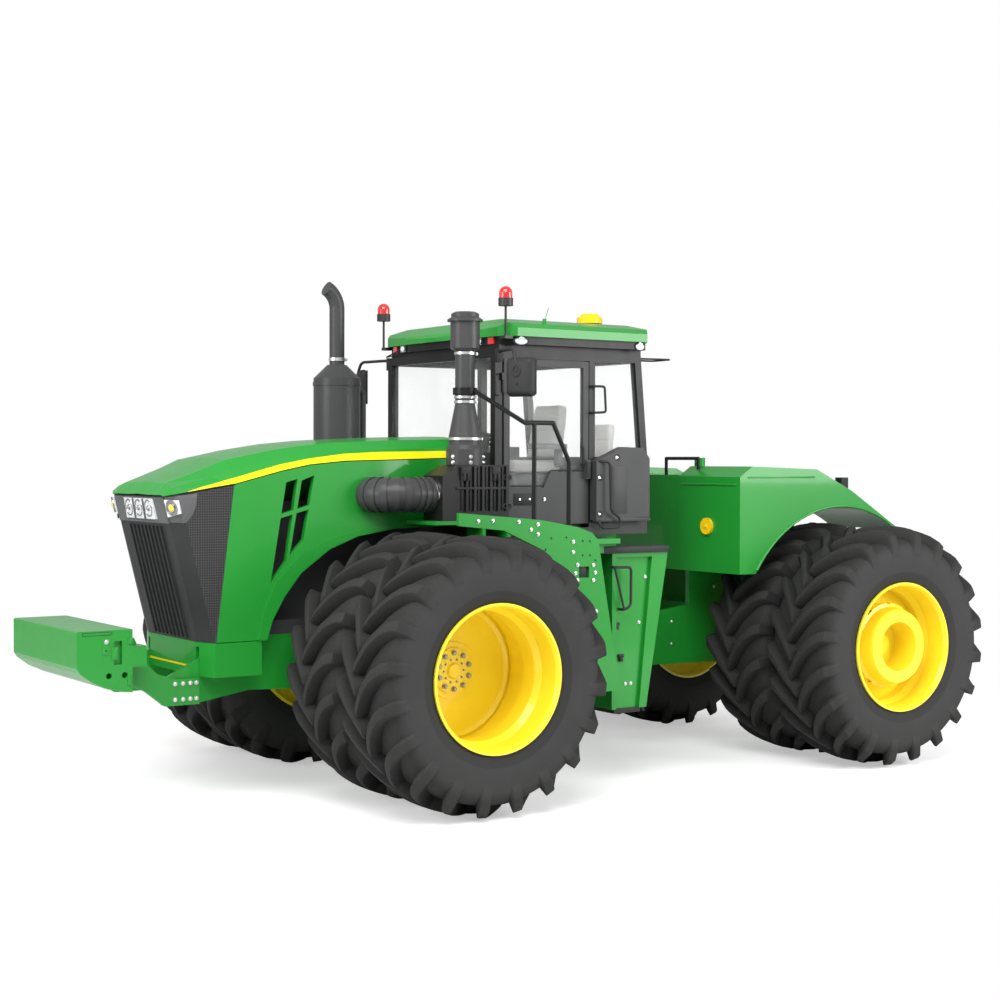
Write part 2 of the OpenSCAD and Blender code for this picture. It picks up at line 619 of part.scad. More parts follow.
module left_barrel() color(grey) place() translate([cyl_front, cyl_y, yoke_z]) barrel();
module right_barrel() color(grey) place() translate([cyl_front, -cyl_y, yoke_z]) barrel();
module left_rod() color([0.8, 0.8, 0.8]) place() translate([cyl_front, cyl_y, yoke_z]) rod();
module right_rod() color([0.8, 0.8, 0.8]) place() translate([cyl_front, -cyl_y, yoke_z]) rod();

// Rear unit

module rear_chassis() color(green) place() {
  difference() {
    union() {
      blk([-800, -740], [-400, 400], [770, 1250]);
      pin_x(0, yoke_z, 235, [-741, -470]);
    }
    pin_x(0, yoke_z, 150 + turn_gap, [-801, -400]);
  }
  both() difference() {
    side_plate([[-799, 770], [-799, 1250], [-1150, 1300], [-1150, 1630 + rise], [-1950, 1630 + rise],
      [-1950, 1250], [-2900, 1200], [-2900, 820], [-1500, 760]], [350, 400]);
    pin_y(-axle_x, axle_z, 200 + turn_gap, [349, 401]);
  }
  blk([-2900, -2550], [-351, 351], [820, 900]);
  blk([-2900, -2840], [-351, 351], [820, 1200]);
  blk([-1300, -1240], [-351, 351], [900, 1300]);
}

// Tanks, with the fenders over the rear inner wheels.
module fuel_tanks() color(green) raised() {
  blk([-2000, -tank_front - 12], [-560, 560], [1630, 2476]);
  both() difference() {
    side_plate([[-tank_front, 1630], [-tank_front, tank_top - 90], [-tank_front - 140, tank_top],
      [-1790, tank_top - 25], [-2220, tank_top - 218], [-2770, 2015], [-2770, 1970], [-2500, 1900], [-1080,
      1630]], [559, tank_y]);
    pin_y(-axle_x, axle_z - rise, tyre_r + 152, [558, tank_y + 1]);
  }
}

// Sight caps on the front faces and the fillers on top.
module tank_caps() color(yellow) raised() both() {
  pin_x(962, 2033, 72, [-tank_front, -tank_front + 28]);
  pin_z(-tank_front - 190, 625, 48, [tank_top, tank_top + 75]);
}

module rear_rail() color(black) raised()
  tube([[-960, 300, 2476], [-960, 300, 2625], [-960, 745, 2625], [-960, 745, tank_top - 30]], 15);

module rear_lamps() color(black) raised() both() {
  z = tank_top - 218;
  side_plate([[-2200, z + 9.2], [-2120, z + 45.3], [-2120, z + 120], [-2200, z + 120]],
    [tank_y - 110, tank_y - 30]);
}

// Drawbar with its pin hole.
module drawbar() color(grey) place() difference() {
  union() {
    blk([-rear_end, -2400], [-65, 65], [520, 575]);
    blk([-2850, -2580], [-140, 140], [574, 820]);
  }
  pin_z(-rear_end + 100, 0, drawbar_pin_r, [519, 576]);
}

// Wheels

// Turned piece round the Y axis, from radius and Y pairs.
module ring(pts) rotate([-90, 0, 0]) rotate_extrude() polygon(pts);

// One lug, a bar from its nose at the middle of the tread to the shoulder and down it.
module lug() {
  rotate([0, 5, 0]) translate([0, 0, tyre_r - 120]) linear_extrude(150)
    polygon([[62, -26], [0, -34], [-132, 128], [-74, 200], [-4, 150], [62, 30]]);
  rotate([0, -4, 0]) rotate([0, 0, 24]) front_plate([[90, tyre_r - 110], [90, tyre_r + 20],
    [420, tyre_r + 20], [420, tyre_r - 220], [330, tyre_r - 220], [240, tyre_r - 140]], [-40, 36]);
}

// One tyre round the Y axis, with two staggered rows of lugs.
module tyre() {
  w = tyre_w / 2;
  r = tyre_r;
  c = tyre_r - 92;
  b = rim_r - 21.7;
  ring([[b, -303], [rim_r + 2, -308], [rim_r + 84, 20 - w], [c - 188, -w], [c - 78, 5 - w], [c, 90 - w],
    [c, w - 90], [c - 78, w - 5], [c - 188, w], [rim_r + 84, w - 20], [rim_r + 2, 308], [b, 303], [b, 262],
    [rim_r + 140, w - 55], [c - 148, w - 43], [c - 43, w - 155], [c - 43, 155 - w], [c - 148, 43 - w],
    [rim_r + 140, 55 - w], [b, -262]]);
  intersection() {
    ring([[r - 230, -w - 14], [r - 140, -w - 8], [r - 62, 12 - w], [r - 18, 96 - w], [r, 200 - w], [r,
      w - 200],
      [r - 18, w - 96], [r - 62, w - 12], [r - 140, w + 8], [r - 230, w + 14]]);
    for (i = [0 : lugs - 1]) {
      rotate([0, 360 / lugs * i, 0]) lug();
      rotate([0, 360 / lugs * (i + 0.5), 0]) mirror([0, 1, 0]) lug();
    }
  }
}

// Barrel of one rim round the Y axis.
module rim() rotate([-90, 0, 0]) rotate_extrude()
  polygon([[rim_r, -330], [rim_r, -312], [rim_r - 22, -305], [rim_r - 22, -130], [rim_r - 58, -80],
    [rim_r - 58, 80],
    [rim_r - 22, 130], [rim_r - 22, 305], [rim_r, 312], [rim_r, 330], [rim_r - 20, 330], [rim_r - 36, 300],
    [rim_r - 36, 124], [rim_r - 72, 76], [rim_r - 72, -76], [rim_r - 36, -124], [rim_r - 36, -300],
    [rim_r - 20, -330]]);

// Hub drum on the spindle.
module drum(y_end) ring([[spindle_r + turn_gap, hub_in], [235, hub_in], [235, y_end], [212, y_end], [212,
  hub_face],
  [spindle_r + turn_gap, hub_face]]);

// Front wheels, the outer one dished to its inner edge round a bolted hub.
module rims_front() {
  translate([0, inner_y, 0]) rim();
  translate([0, outer_y, 0]) rim();
  drum(outer_y - 340);
  ring([[230, inner_y - 120], [rim_r - 28, inner_y - 230], [rim_r - 28, inner_y - 210], [230,
    inner_y - 100]]);
  ring([[0, outer_y - 346], [rim_r - 8, outer_y - 346], [rim_r - 8, outer_y - 322], [rim_r - 56,
    outer_y - 306],
    [rim_r - 84, outer_y - 324], [217, outer_y - 324], [217, outer_y - 314], [172, outer_y - 314],
    [172, outer_y - 298], [62, outer_y - 298], [50, outer_y - 280], [0, outer_y - 280]]);
}

// Rear wheels, the outer one on a cast hub that reaches out to the rim.
module rims_rear() {
  translate([0, inner_y, 0]) rim();
  translate([0, outer_y, 0]) rim();
  drum(outer_y + 30);
  ring([[230, inner_y - 120], [rim_r - 28, inner_y - 230], [rim_r - 28, inner_y - 210], [230,
    inner_y - 100]]);
  ring([[0, outer_y + 4], [213, outer_y + 4], [213, outer_y + 24], [90, outer_y + 24], [90, outer_y + 70],
    [0, outer_y + 70]]);
  difference() {
    ring([[212, outer_y + 270], [310, outer_y + 270], [320, outer_y + 250], [336, outer_y + 150], [366,
      outer_y + 140],
      [366, outer_y + 40], [rim_r - 62, outer_y - 10], [rim_r - 62, outer_y - 40], [212, outer_y + 4]]);
    for (i = [0 : 9]) rotate([0, 36 * i, 0]) pin_y(0, 352, 32, [outer_y + 95, outer_y + 142]);
  }
}

module tyres() {
  translate([0, inner_y, 0]) tyre();
  translate([0, outer_y, 0]) tyre();
}

module tyres_front_left() color(black) place() translate([axle_x, 0, axle_z]) tyres();
module tyres_front_right() color(black) place() translate([axle_x, 0, axle_z]) mirror([0, 1, 0]) tyres();
module tyres_rear_left() color(black) place() translate([-axle_x, 0, axle_z]) tyres();
module tyres_rear_right() color(black) place() translate([-axle_x, 0, axle_z]) mirror([0, 1, 0]) tyres();
module rims_front_left() color(yellow) place() translate([axle_x, 0, axle_z]) rims_front();
module rims_front_right() color(yellow) place() translate([axle_x, 0, axle_z]) mirror([0, 1, 0]) rims_front();
module rims_rear_left() color(yellow) place() translate([-axle_x, 0, axle_z]) rims_rear();
module rims_rear_right() color(yellow) place() translate([-axle_x, 0, axle_z]) mirror([0, 1, 0]) rims_rear();

front_chassis();
front_axle();
engine_block();
cooling_pack();
front_weight();
weight_bracket();
nose_skirt();
grille();
headlamps();
hood_sides();
hood_top();
air_cleaner();
intake_stack();
intake_hose();
exhaust_muffler();
exhaust_pipe();
cab_base();
cab_posts();
roof_tray();
cab_roof();
roof_lamps();
beacons();
roof_dome();
cab_glass();
door_frame();
door_glass();
operator_seat();
second_seat();
steering_column();
console();
mirrors();
left_rail();
left_walkway();
right_walkway();
ladder();
hinge_yoke();
left_barrel();
right_barrel();
left_rod();
right_rod();
rear_chassis();
rear_axle();
fuel_tanks();
tank_caps();
rear_rail();
rear_lamps();
drawbar();
tyres_front_left();
rims_front_left();
tyres_front_right();
rims_front_right();
tyres_rear_left();
rims_rear_left();
tyres_rear_right();
rims_rear_right();
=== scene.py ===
import math

import bmesh
import bpy
from mathutils import Matrix, Vector


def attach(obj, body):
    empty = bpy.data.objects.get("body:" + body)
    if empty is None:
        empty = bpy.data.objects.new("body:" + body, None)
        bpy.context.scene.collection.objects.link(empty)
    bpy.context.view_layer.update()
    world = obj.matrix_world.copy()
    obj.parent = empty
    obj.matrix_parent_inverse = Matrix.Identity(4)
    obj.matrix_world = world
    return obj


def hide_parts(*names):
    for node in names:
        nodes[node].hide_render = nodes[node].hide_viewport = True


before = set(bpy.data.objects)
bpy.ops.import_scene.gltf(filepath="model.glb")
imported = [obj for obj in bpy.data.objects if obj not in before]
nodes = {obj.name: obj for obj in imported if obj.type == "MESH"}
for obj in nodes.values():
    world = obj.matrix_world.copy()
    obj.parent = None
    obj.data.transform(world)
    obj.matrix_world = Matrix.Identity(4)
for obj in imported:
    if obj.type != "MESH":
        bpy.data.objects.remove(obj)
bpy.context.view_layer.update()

# Lengths are in metres. The steering pivot lies behind the middle of the tractor, half way between the axles.
PIVOT = -0.6955
HALF_BASE = 2.09
AXLE_FRONT = PIVOT + HALF_BASE
AXLE_REAR = PIVOT - HALF_BASE
# Heights of pieces count from a level this far above the floor, and so does the height of the axles.
LIFT = 0.030
AXLE_UP = 1.008
AXLE_Z = AXLE_UP + LIFT

AHEAD = (1, 0, 0)
LEFT = (0, 1, 0)
UP = (0, 0, 1)


# Camera and studio


def aim_camera():
    """Puts the camera where the photograph was taken from."""
    data = bpy.data.cameras.new("camera")
    data.sensor_fit = "HORIZONTAL"
    data.sensor_width = 36.0
    data.lens = 63.62
    data.clip_end = 200.0
    camera = bpy.data.objects.new("camera", data)
    bpy.context.scene.collection.objects.link(camera)
    yaw = math.radians(33.89)
    pitch = math.radians(1.26)
    roll = math.radians(0.16)
    ahead = Vector((-math.sin(yaw) * math.cos(pitch), -math.cos(yaw) * math.cos(pitch), -math.sin(pitch)))
    side = ahead.cross(Vector(UP)).normalized()
    up = side.cross(ahead)
    right = side * math.cos(roll) + up * math.sin(roll)
    top = up * math.cos(roll) - side * math.sin(roll)
    turn = Matrix((right, top, -ahead)).transposed().to_4x4()
    camera.matrix_world = Matrix.Translation(at(9.2418, 12.781, 2.5959)) @ turn
    bpy.context.scene.camera = camera


class Wire:
    """A value between nodes, so that sums can be written as plain sums."""

    def __init__(self, board, socket):
        self.board = board
        self.socket = socket

    def maths(self, operation, *terms):
        return self.board.node("ShaderNodeMath", {"operation": operation}, dict(enumerate(terms)))

    def __add__(self, other):
        return self.maths("ADD", self, other)

    def __radd__(self, other):
        return self.maths("ADD", other, self)

    def __sub__(self, other):
        return self.maths("SUBTRACT", self, other)

    def __rsub__(self, other):
        return self.maths("SUBTRACT", other, self)

    def __mul__(self, other):
        return self.maths("MULTIPLY", self, other)

    def __truediv__(self, other):
        return self.maths("DIVIDE", self, other)

    def __lt__(self, other):
        return self.maths("LESS_THAN", self, other)

    def __gt__(self, other):
        return self.maths("GREATER_THAN", self, other)

    def __abs__(self):
        return self.maths("ABSOLUTE", self)

    def sine(self):
        return self.maths("SINE", self)

    def root(self):
        return self.maths("SQRT", self)

    def highest(self, other):
        return self.maths("MAXIMUM", self, other)

    def clipped(self):
        return self.board.node("ShaderNodeClamp", {}, {0: self})


class Board:
    """A node tree that nodes are added to."""

    def __init__(self, tree):
        self.tree = tree

    def feed(self, node, name, value):
        """Gives a socket of a node a value or a wire."""
        if isinstance(value, Wire):
            self.tree.links.new(value.socket, node.inputs[name])
        else:
            node.inputs[name].default_value = value

    def node(self, kind, settings, sockets, output=0):
        """Adds a node, sets it up, feeds its sockets and returns one of its outputs."""
        made = self.tree.nodes.new(kind)
        for name, value in settings.items():
            if name == "points":
                curve = made.mapping.curves[0]
                for point in value[2:]:
                    curve.points.new(*point)
                for spot, point in zip(curve.points, sorted(value)):
                    spot.location = point
                    spot.handle_type = "VECTOR"
                made.mapping.update()
            else:
                setattr(made, name, value)
        for name, value in sockets.items():
            self.feed(made, name, value)
        return Wire(self, made.outputs[output])


class Finish(Board):
    """A material under construction."""

    def __init__(self, name, colour, roughness, metallic=0.0):
        self.material = bpy.data.materials.new(name)
        self.material.use_nodes = True
        super().__init__(self.material.node_tree)
        self.surface = self.tree.nodes["Principled BSDF"]
        self.set("Base Color", (*colour, 1.0))
        self.set("Roughness", roughness)
        self.set("Metallic", metallic)
        self.material.diffuse_color = (*colour, 1.0)

    def set(self, name, value):
        """Gives a socket of the surface a value or a wire."""
        self.feed(self.surface, name, value)

    def place(self, centre=(0, 0, 0)):
        """Object coordinates, measured from a centre."""
        there = self.node("ShaderNodeTexCoord", {}, {}, "Object")
        return self.node("ShaderNodeMapping", {}, {"Vector": there, "Location": tuple(-c for c in centre)})

    def axes(self, centre=(0, 0, 0)):
        """The three object coordinates as separate values."""
        there = self.place(centre)
        return [self.node("ShaderNodeSeparateXYZ", {}, {0: there}, i) for i in range(3)]

    def noise(self, scale, detail=3.0):
        """Clouds between 0 and 1, finer with a larger scale."""
        sockets = {"Vector": self.place(), "Scale": scale, "Detail": detail}
        return self.node("ShaderNodeTexNoise", {}, sockets)

    def blend(self, mask, first, second):
        """A colour that goes from the first to the second with the mask."""
        sockets = {0: mask}
        for index, colour in ((6, first), (7, second)):
            sockets[index] = colour if isinstance(colour, Wire) else (*colour, 1.0)
        return self.node("ShaderNodeMix", {"data_type": "RGBA"}, sockets, 2)

    def bump(self, height, strength, distance):
        """Raises the surface by a height."""
        sockets = {"Height": height, "Strength": strength, "Distance": distance}
        self.set("Normal", self.node("ShaderNodeBump", {}, sockets))

    def mottle(self, colour, scale, amount, detail=4.0):
        """A colour that drifts a little lighter and darker over the surface."""
        dark = tuple(c * (1 - amount) for c in colour)
        light = tuple(min(c * (1 + amount), 1.0) for c in colour)
        return self.blend(self.noise(scale, detail), dark, light)


def light_studio():
    """Plain soft light on a white floor."""
    scene = bpy.context.scene
    scene.view_settings.view_transform = "Standard"
    world = bpy.data.worlds.new("studio")
    scene.world = world
    world.use_nodes = True
    sky = Board(world.node_tree)
    seen, through, glossy = [sky.node("ShaderNodeLightPath", {}, {}, f"Is {kind} Ray")
                             for kind in ("Camera", "Transmission", "Glossy")]
    back = sky.tree.nodes["Background"]
    sky.feed(back, "Color", (1, 1, 1, 1))
    sky.feed(back, "Strength", seen.highest(through).highest(glossy * 0.12 + 0.43))

    def panel(name, place, target, size, power):
        data = bpy.data.lights.new(name, "AREA")
        data.shape = "RECTANGLE"
        data.size = size[0]
        data.size_y = size[1]
        data.energy = power
        lamp = bpy.data.objects.new(name, data)
        bpy.context.scene.collection.objects.link(lamp)
        lamp.location = place
        lamp.rotation_euler = (Vector(target) - Vector(place)).to_track_quat("-Z", "Y").to_euler()

    panel("key", (5.5, 6.0, 9.5), (0.3, 0, 1.0), (9, 6), 1250)
    panel("side", (-6.9, 9.1, 4.25), (-2.6, 1.2, 1.6), (6, 4), 680)
    panel("nose", (11.0, 0.5, 4.5), (2.0, 0, 1.2), (5, 4), 370)


def lay_floor():
    """A pale floor that keeps the shadow and melts into the white background."""
    bpy.ops.object.select_all(action="DESELECT")
    bpy.ops.mesh.primitive_plane_add(size=120, location=(0, 0, -0.001))
    floor = bpy.context.object
    floor.name = "floor"
    bpy.ops.object.transform_apply(location=True, rotation=True, scale=True)
    finish = Finish("floor", (0.86, 0.86, 0.86), 0.9)
    seen = finish.node("ShaderNodeLightPath", {}, {}, "Is Camera Ray")
    x, y, z = finish.axes((-0.3, -0.4, 0))
    reach = (x * x + y * y * 1.6).root()
    far = ((reach - 4.6) / 2.6).clipped()
    lit = finish.node("ShaderNodeEmission", {}, {"Strength": 0.45})
    plain = Wire(finish, finish.surface.outputs[0])
    near = finish.node("ShaderNodeAddShader", {}, {0: plain, 1: lit})
    near = finish.node("ShaderNodeMixShader", {}, {0: seen, 1: plain, 2: near})
    white = finish.node("ShaderNodeEmission", {}, {"Strength": 1.0})
    whole = finish.node("ShaderNodeMixShader", {}, {0: far * seen, 1: near, 2: white})
    finish.feed(finish.tree.nodes["Material Output"], "Surface", whole)
    floor.data.materials.append(finish.material)


# Finishes


GREEN = (0.0125, 0.262, 0.026)
YELLOW = (0.95, 0.745, 0.027)


def gloss_paint(name, colour, peel=0.12):
    """Sprayed paint under a clear coat, with a trace of orange peel."""
    finish = Finish(name, colour, 0.32)
    finish.set("Base Color", finish.mottle(colour, 1.7, 0.05))
    finish.set("Roughness", 0.34 + finish.noise(9.0) * 0.12)
    finish.set("Specular IOR Level", 0.3)
    finish.set("Coat Weight", 0.4)
    finish.set("Coat Roughness", 0.06)
    finish.bump(finish.noise(240.0, 1.0), peel, 0.0006)
    return finish


def striped_hood():
    """The hood paint, with the yellow stripe along the lower edge of the lid."""
    finish = gloss_paint("hood_paint", GREEN)
    x, y, z = finish.axes((PIVOT, 0, LIFT))
    left, right, low, high = 1.3, 4.1, 2.25, 2.75
    line = [(4.1, 2.25), (3.862, 2.368), (3.488, 2.463), (3.099, 2.566), (2.853, 2.612), (2.537, 2.651),
            (2.214, 2.667), (1.77, 2.675), (1.3, 2.684)]
    points = [((a - left) / (right - left), (b - low) / (high - low)) for a, b in line]
    sockets = {"Factor": 1.0, "Value": (x - left) / (right - left)}
    top = finish.node("ShaderNodeFloatCurve", {"points": points}, sockets)
    mask = ((top * (high - low) + low - z) * 1500.0).clipped()
    stripe = finish.mottle((0.86, 0.72, 0.0), 3.0, 0.04)
    finish.set("Base Color", finish.blend(mask, finish.mottle(GREEN, 1.7, 0.05), stripe))
    return finish


def lined_skirt():
    """The nose paint, with a thin yellow line across the front."""
    finish = gloss_paint("nose_paint", GREEN)
    x, y, z = finish.axes((PIVOT, 0, LIFT))
    band = ((0.008 - abs(z - 1.032)) * 1500.0).clipped() * (x > 3.62) * (y < 0.4)
    finish.set("Base Color", finish.blend(band, finish.mottle(GREEN, 1.7, 0.05), (0.86, 0.6, 0.0)))
    return finish


def rubber(name, axle_x):
    """Tyre rubber: smooth grey walls with moulded rings and a painted shade ring next to the rim, and coarse,
    darker tread bars.
    """
    finish = Finish(name, (0.05, 0.05, 0.05), 0.72)
    finish.set("Specular IOR Level", 0.2)
    x, y, z = finish.axes((axle_x, 0, AXLE_Z))
    radius = (x * x + z * z).root()
    rings = (radius * 130.0).sine()
    wall = ((0.9 - radius) * 14.0).clipped()
    grain = finish.noise(120.0, 4.0)
    dust = finish.noise(5.0, 5.0)
    tread = finish.blend(grain, (0.012, 0.012, 0.012), (0.046, 0.045, 0.044))
    side = finish.blend(dust, (0.03, 0.03, 0.03), (0.046, 0.046, 0.046))
    # Painted shade: the wall is darkened in a ring next to the rim, out to 0.652 from the axle, where the rim
    # casts shade.
    side = finish.blend(((0.652 - radius) * 90.0).clipped(), side, (0.029, 0.029, 0.029))
    finish.set("Base Color", finish.blend(wall, tread, side))
    finish.set("Roughness", 0.62 + dust * 0.2)
    finish.bump(grain * (1.05 - wall) + rings * wall * 0.12, 0.4, 0.004)
    return finish


def plastic(name, colour, roughness=0.42, grain=320.0, strength=0.18):
    """Moulded plastic with a fine grain."""
    finish = Finish(name, colour, roughness)
    finish.set("Base Color", finish.mottle(colour, 4.0, 0.12))
    finish.set("Specular IOR Level", 0.2)
    finish.set("Roughness", roughness - 0.06 + finish.noise(12.0) * 0.12)
    finish.bump(finish.noise(grain, 2.0), strength, 0.0008)
    return finish


def metal(name, colour, roughness):
    """Bare or plated metal with faint handling marks."""
    finish = Finish(name, colour, roughness, 1.0)
    finish.set("Roughness", roughness * 0.8 + finish.noise(40.0, 4.0) * roughness * 0.5)
    finish.bump(finish.noise(400.0, 1.0), 0.05, 0.0004)
    return finish


def window_glass(name, alpha):
    """Lightly tinted pane with a breath of dust."""
    finish = Finish(name, (0.82, 0.87, 0.85), 0.03)
    finish.set("Alpha", alpha + finish.noise(3.0) * 0.04)
    finish.set("Roughness", 0.02 + finish.noise(7.0) * 0.05)
    return finish


def lens(name, colour, glow=0.0):
    """Clear lamp plastic with fine upright flutes."""
    finish = Finish(name, colour, 0.08)
    x, y, z = finish.axes()
    flutes = (y * 420.0).sine()
    finish.set("Base Color", finish.mottle(colour, 30.0, 0.1))
    finish.set("Coat Weight", 1.0)
    finish.set("Emission Color", finish.mottle(colour, 30.0, 0.1))
    finish.set("Emission Strength", glow)
    finish.bump(flutes, 0.25, 0.001)
    return finish


def beacon():
    """Red lamp plastic over the domes and front lamps, and black on the cups and stems below."""
    finish = Finish("beacon_red", (0.72, 0.012, 0.01), 0.1)
    x, y, z = finish.axes((PIVOT, 0, LIFT))
    red = (z > 3.909).highest(abs(y) < 0.85)
    colour = finish.blend(red, (0.018, 0.018, 0.019), finish.mottle((0.75, 0.012, 0.01), 30.0, 0.1))
    finish.set("Base Color", colour)
    finish.set("Roughness", 0.42 - red * 0.32)
    finish.set("Coat Weight", red)
    finish.bump((z * 500.0).sine() * red, 0.2, 0.001)
    return finish


def tank_cap():
    """Yellow filler caps on the front, green ones on the top of the tanks."""
    yellow = (0.9, 0.6, 0.01)
    finish = plastic("cap_plastic", yellow, 0.3)
    x, y, z = finish.axes((PIVOT, 0, LIFT))
    colours = [finish.mottle(colour, 4.0, 0.12) for colour in (yellow, GREEN)]
    finish.set("Base Color", finish.blend(z > 2.5, *colours))
    return finish


def screen(name):
    """Dark nose plastic, with fine square mesh over the sides."""
    finish = Finish(name, (0.03, 0.03, 0.031), 0.5)
    finish.set("Specular IOR Level", 0.3)
    x, y, z = finish.axes()
    sides = abs(y) > 0.6445
    grid = (x * 330.0).sine().highest((z * 330.0).sine()) * sides
    weave = finish.blend((grid * 1.2).clipped(), (0.012, 0.012, 0.012), (0.05, 0.05, 0.052))
    finish.set("Base Color", finish.blend(sides, finish.mottle((0.026, 0.026, 0.027), 6.0, 0.15), weave))
    finish.set("Roughness", 0.45 + finish.noise(20.0) * 0.15)
    finish.bump(grid, 0.6, 0.002)
    return finish


def cloth(name, colour):
    """Woven seat cover with a fine cross weave."""
    finish = Finish(name, colour, 0.85)
    x, y, z = finish.axes()
    warp = ((x + z) * 900.0).sine()
    weft = (y * 900.0).sine()
    finish.set("Base Color", finish.mottle(colour, 14.0, 0.12))
    finish.set("Roughness", 0.8 + finish.noise(30.0) * 0.15)
    finish.bump(warp * weft, 0.35, 0.001)
    return finish


def coat_nodes():
    """Gives every CAD node its finish, and returns the finishes by name."""
    kit = {
        "green": gloss_paint("green_paint", GREEN),
        "hood": striped_hood(),
        "skirt": lined_skirt(),
        "yellow": gloss_paint("yellow_paint", YELLOW, 0.08),
        "black": plastic("black_paint", (0.012, 0.012, 0.0125), 0.32),
        "panel": plastic("cab_panels", (0.062, 0.062, 0.063), 0.46),
        "stack": plastic("stack_paint", (0.055, 0.055, 0.056), 0.32),
        "soft_black": plastic("black_plastic", (0.03, 0.03, 0.031), 0.5),
        "grey": plastic("interior_grey", (0.2, 0.2, 0.205), 0.6),
        "rubber_front": rubber("rubber_front", AXLE_FRONT),
        "rubber_rear": rubber("rubber_rear", AXLE_REAR),
        "glass": window_glass("cab_glass", 0.035),
        "lamp": lens("lamp_lens", (0.7, 0.72, 0.75), 0.08),
        "red": beacon(),
        "tail": lens("tail_red", (0.62, 0.012, 0.01), 0.04),
        "amber": lens("corner_amber", (0.95, 0.6, 0.02), 0.2),
        "bezel": plastic("lamp_surround", (0.11, 0.11, 0.113), 0.4),
        "caps": tank_cap(),
        "screen": screen("nose_screen"),
        "seat": cloth("seat_cloth", (0.66, 0.65, 0.62)),
        "zinc": metal("zinc", (0.75, 0.75, 0.74), 0.3),
        "chrome": metal("chrome", (0.85, 0.85, 0.86), 0.1),
        "steel": metal("dull_steel", (0.36, 0.35, 0.34), 0.32),
        "yellow_cap": plastic("yellow_plastic", (0.9, 0.6, 0.01), 0.3),
        "iron": plastic("cast_iron", (0.05, 0.05, 0.052), 0.55, 120.0, 0.4),
    }
    uses = {
        "green": ["front_chassis", "front_axle", "hinge_yoke", "rear_chassis", "rear_axle", "front_weight",
                  "weight_bracket", "hood_sides", "cab_roof", "left_walkway", "right_walkway", "ladder",
                  "fuel_tanks"],
        "hood": ["hood_top"],
        "skirt": ["nose_skirt"],
        "screen": ["grille"],
        "lamp": ["headlamps", "roof_lamps"],
        "red": ["beacons"],
        "glass": ["cab_glass", "door_glass"],
        "seat": ["operator_seat", "second_seat"],
        "yellow": [n for n in nodes if n.startswith("rims")],
        "rubber_front": ["tyres_front_left", "tyres_front_right"],
        "rubber_rear": ["tyres_rear_left", "tyres_rear_right"],
        "chrome": ["left_rod", "right_rod"],
        "grey": ["console"],
        "soft_black": ["steering_column"],
        "panel": ["cab_base", "door_frame"],
        "stack": ["intake_stack", "exhaust_muffler", "exhaust_pipe", "intake_hose"],
        "yellow_cap": ["roof_dome"],
        "caps": ["tank_caps"],
        "iron": ["drawbar", "left_barrel", "right_barrel", "engine_block", "cooling_pack"],
    }
    worn = {name: key for key, names in uses.items() for name in names}
    for name, piece in nodes.items():
        piece.data.materials.clear()
        piece.data.materials.append(kit[worn.get(name, "black")].material)
    return {key: finish.material for key, finish in kit.items()}


def smooth_nodes():
    """Rounds the shading of the CAD nodes over shallow edges."""
    for piece in nodes.values():
        bpy.ops.object.select_all(action="DESELECT")
        piece.select_set(True)
        bpy.context.view_layer.objects.active = piece
        bpy.ops.object.shade_smooth_by_angle(angle=math.radians(28))


# Modelling by hand


def at(x, y, z):
    """A point measured from the steering pivot, in the frame of the tractor."""
    return Vector((x + PIVOT, y, z + LIFT))


def start(add, **size):
    """Adds a primitive with nothing else selected and opens it for shaping."""
    bpy.ops.object.select_all(action="DESELECT")
    add(**size)
    bpy.ops.object.transform_apply(location=True, rotation=True, scale=True)
    bpy.ops.object.mode_set(mode="EDIT")
    bpy.context.tool_settings.mesh_select_mode = (False, False, True)


def pick(test):
    """Selects the faces of the open mesh whose centre and normal pass a test."""
    bpy.ops.mesh.select_all(action="DESELECT")
    shape = bmesh.from_edit_mesh(bpy.context.object.data)
    for face in shape.faces:
        face.select_set(bool(test(face.calc_center_median(), face.normal)))
    shape.select_flush_mode()
    bmesh.update_edit_mesh(bpy.context.object.data)


def pull(x, y, z):
    """Extrudes what is selected by a step."""
    bpy.ops.mesh.extrude_region_move(TRANSFORM_OT_translate={"value": (x, y, z)})


def cut_below(height):
    """Cuts off what lies under a height in the open mesh, and closes the cut."""
    bpy.ops.mesh.select_all(action="SELECT")
    bpy.ops.mesh.bisect(plane_co=(0, 0, height), plane_no=UP, use_fill=True, clear_inner=True)


def shut():
    """Leaves edit mode."""
    if bpy.context.object.mode == "EDIT":
        bpy.ops.object.mode_set(mode="OBJECT")
    return bpy.context.object


def change(kind, **settings):
    """Gives the piece at hand a modifier and applies it."""
    piece = shut()
    tool = piece.modifiers.new(kind.lower(), kind)
    for name, value in settings.items():
        setattr(tool, name, value)
    bpy.ops.object.modifier_apply(modifier=tool.name)


def ease(width, segments=2):
    """Rounds the sharp edges of the piece at hand."""
    change("BEVEL", width=width, segments=segments, limit_method="ANGLE", angle_limit=math.radians(40))


def wear(piece, finish):
    piece.data.materials.clear()
    piece.data.materials.append(kit[finish])


def face_out():
    """Turns the faces of the piece at hand outwards."""
    shut()
    bpy.ops.object.mode_set(mode="EDIT")
    bpy.ops.mesh.select_all(action="SELECT")
    bpy.ops.mesh.normals_make_consistent(inside=False)
    return shut()


def settle(name, finish, body, smooth=35):
    """Puts the place into the mesh, and gives the piece its name, finish and body."""
    piece = shut()
    bpy.ops.object.transform_apply(location=True, rotation=True, scale=True)
    piece.name = name
    if finish:
        wear(piece, finish)
    bpy.ops.object.shade_smooth_by_angle(angle=math.radians(smooth))
    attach(piece, body)
    return piece


def join(pieces):
    """Makes one piece of several."""
    bpy.ops.object.select_all(action="DESELECT")
    for piece in pieces:
        piece.select_set(True)
    bpy.context.view_layer.objects.active = pieces[0]
    if len(pieces) > 1:
        bpy.ops.object.join()
    return bpy.context.object


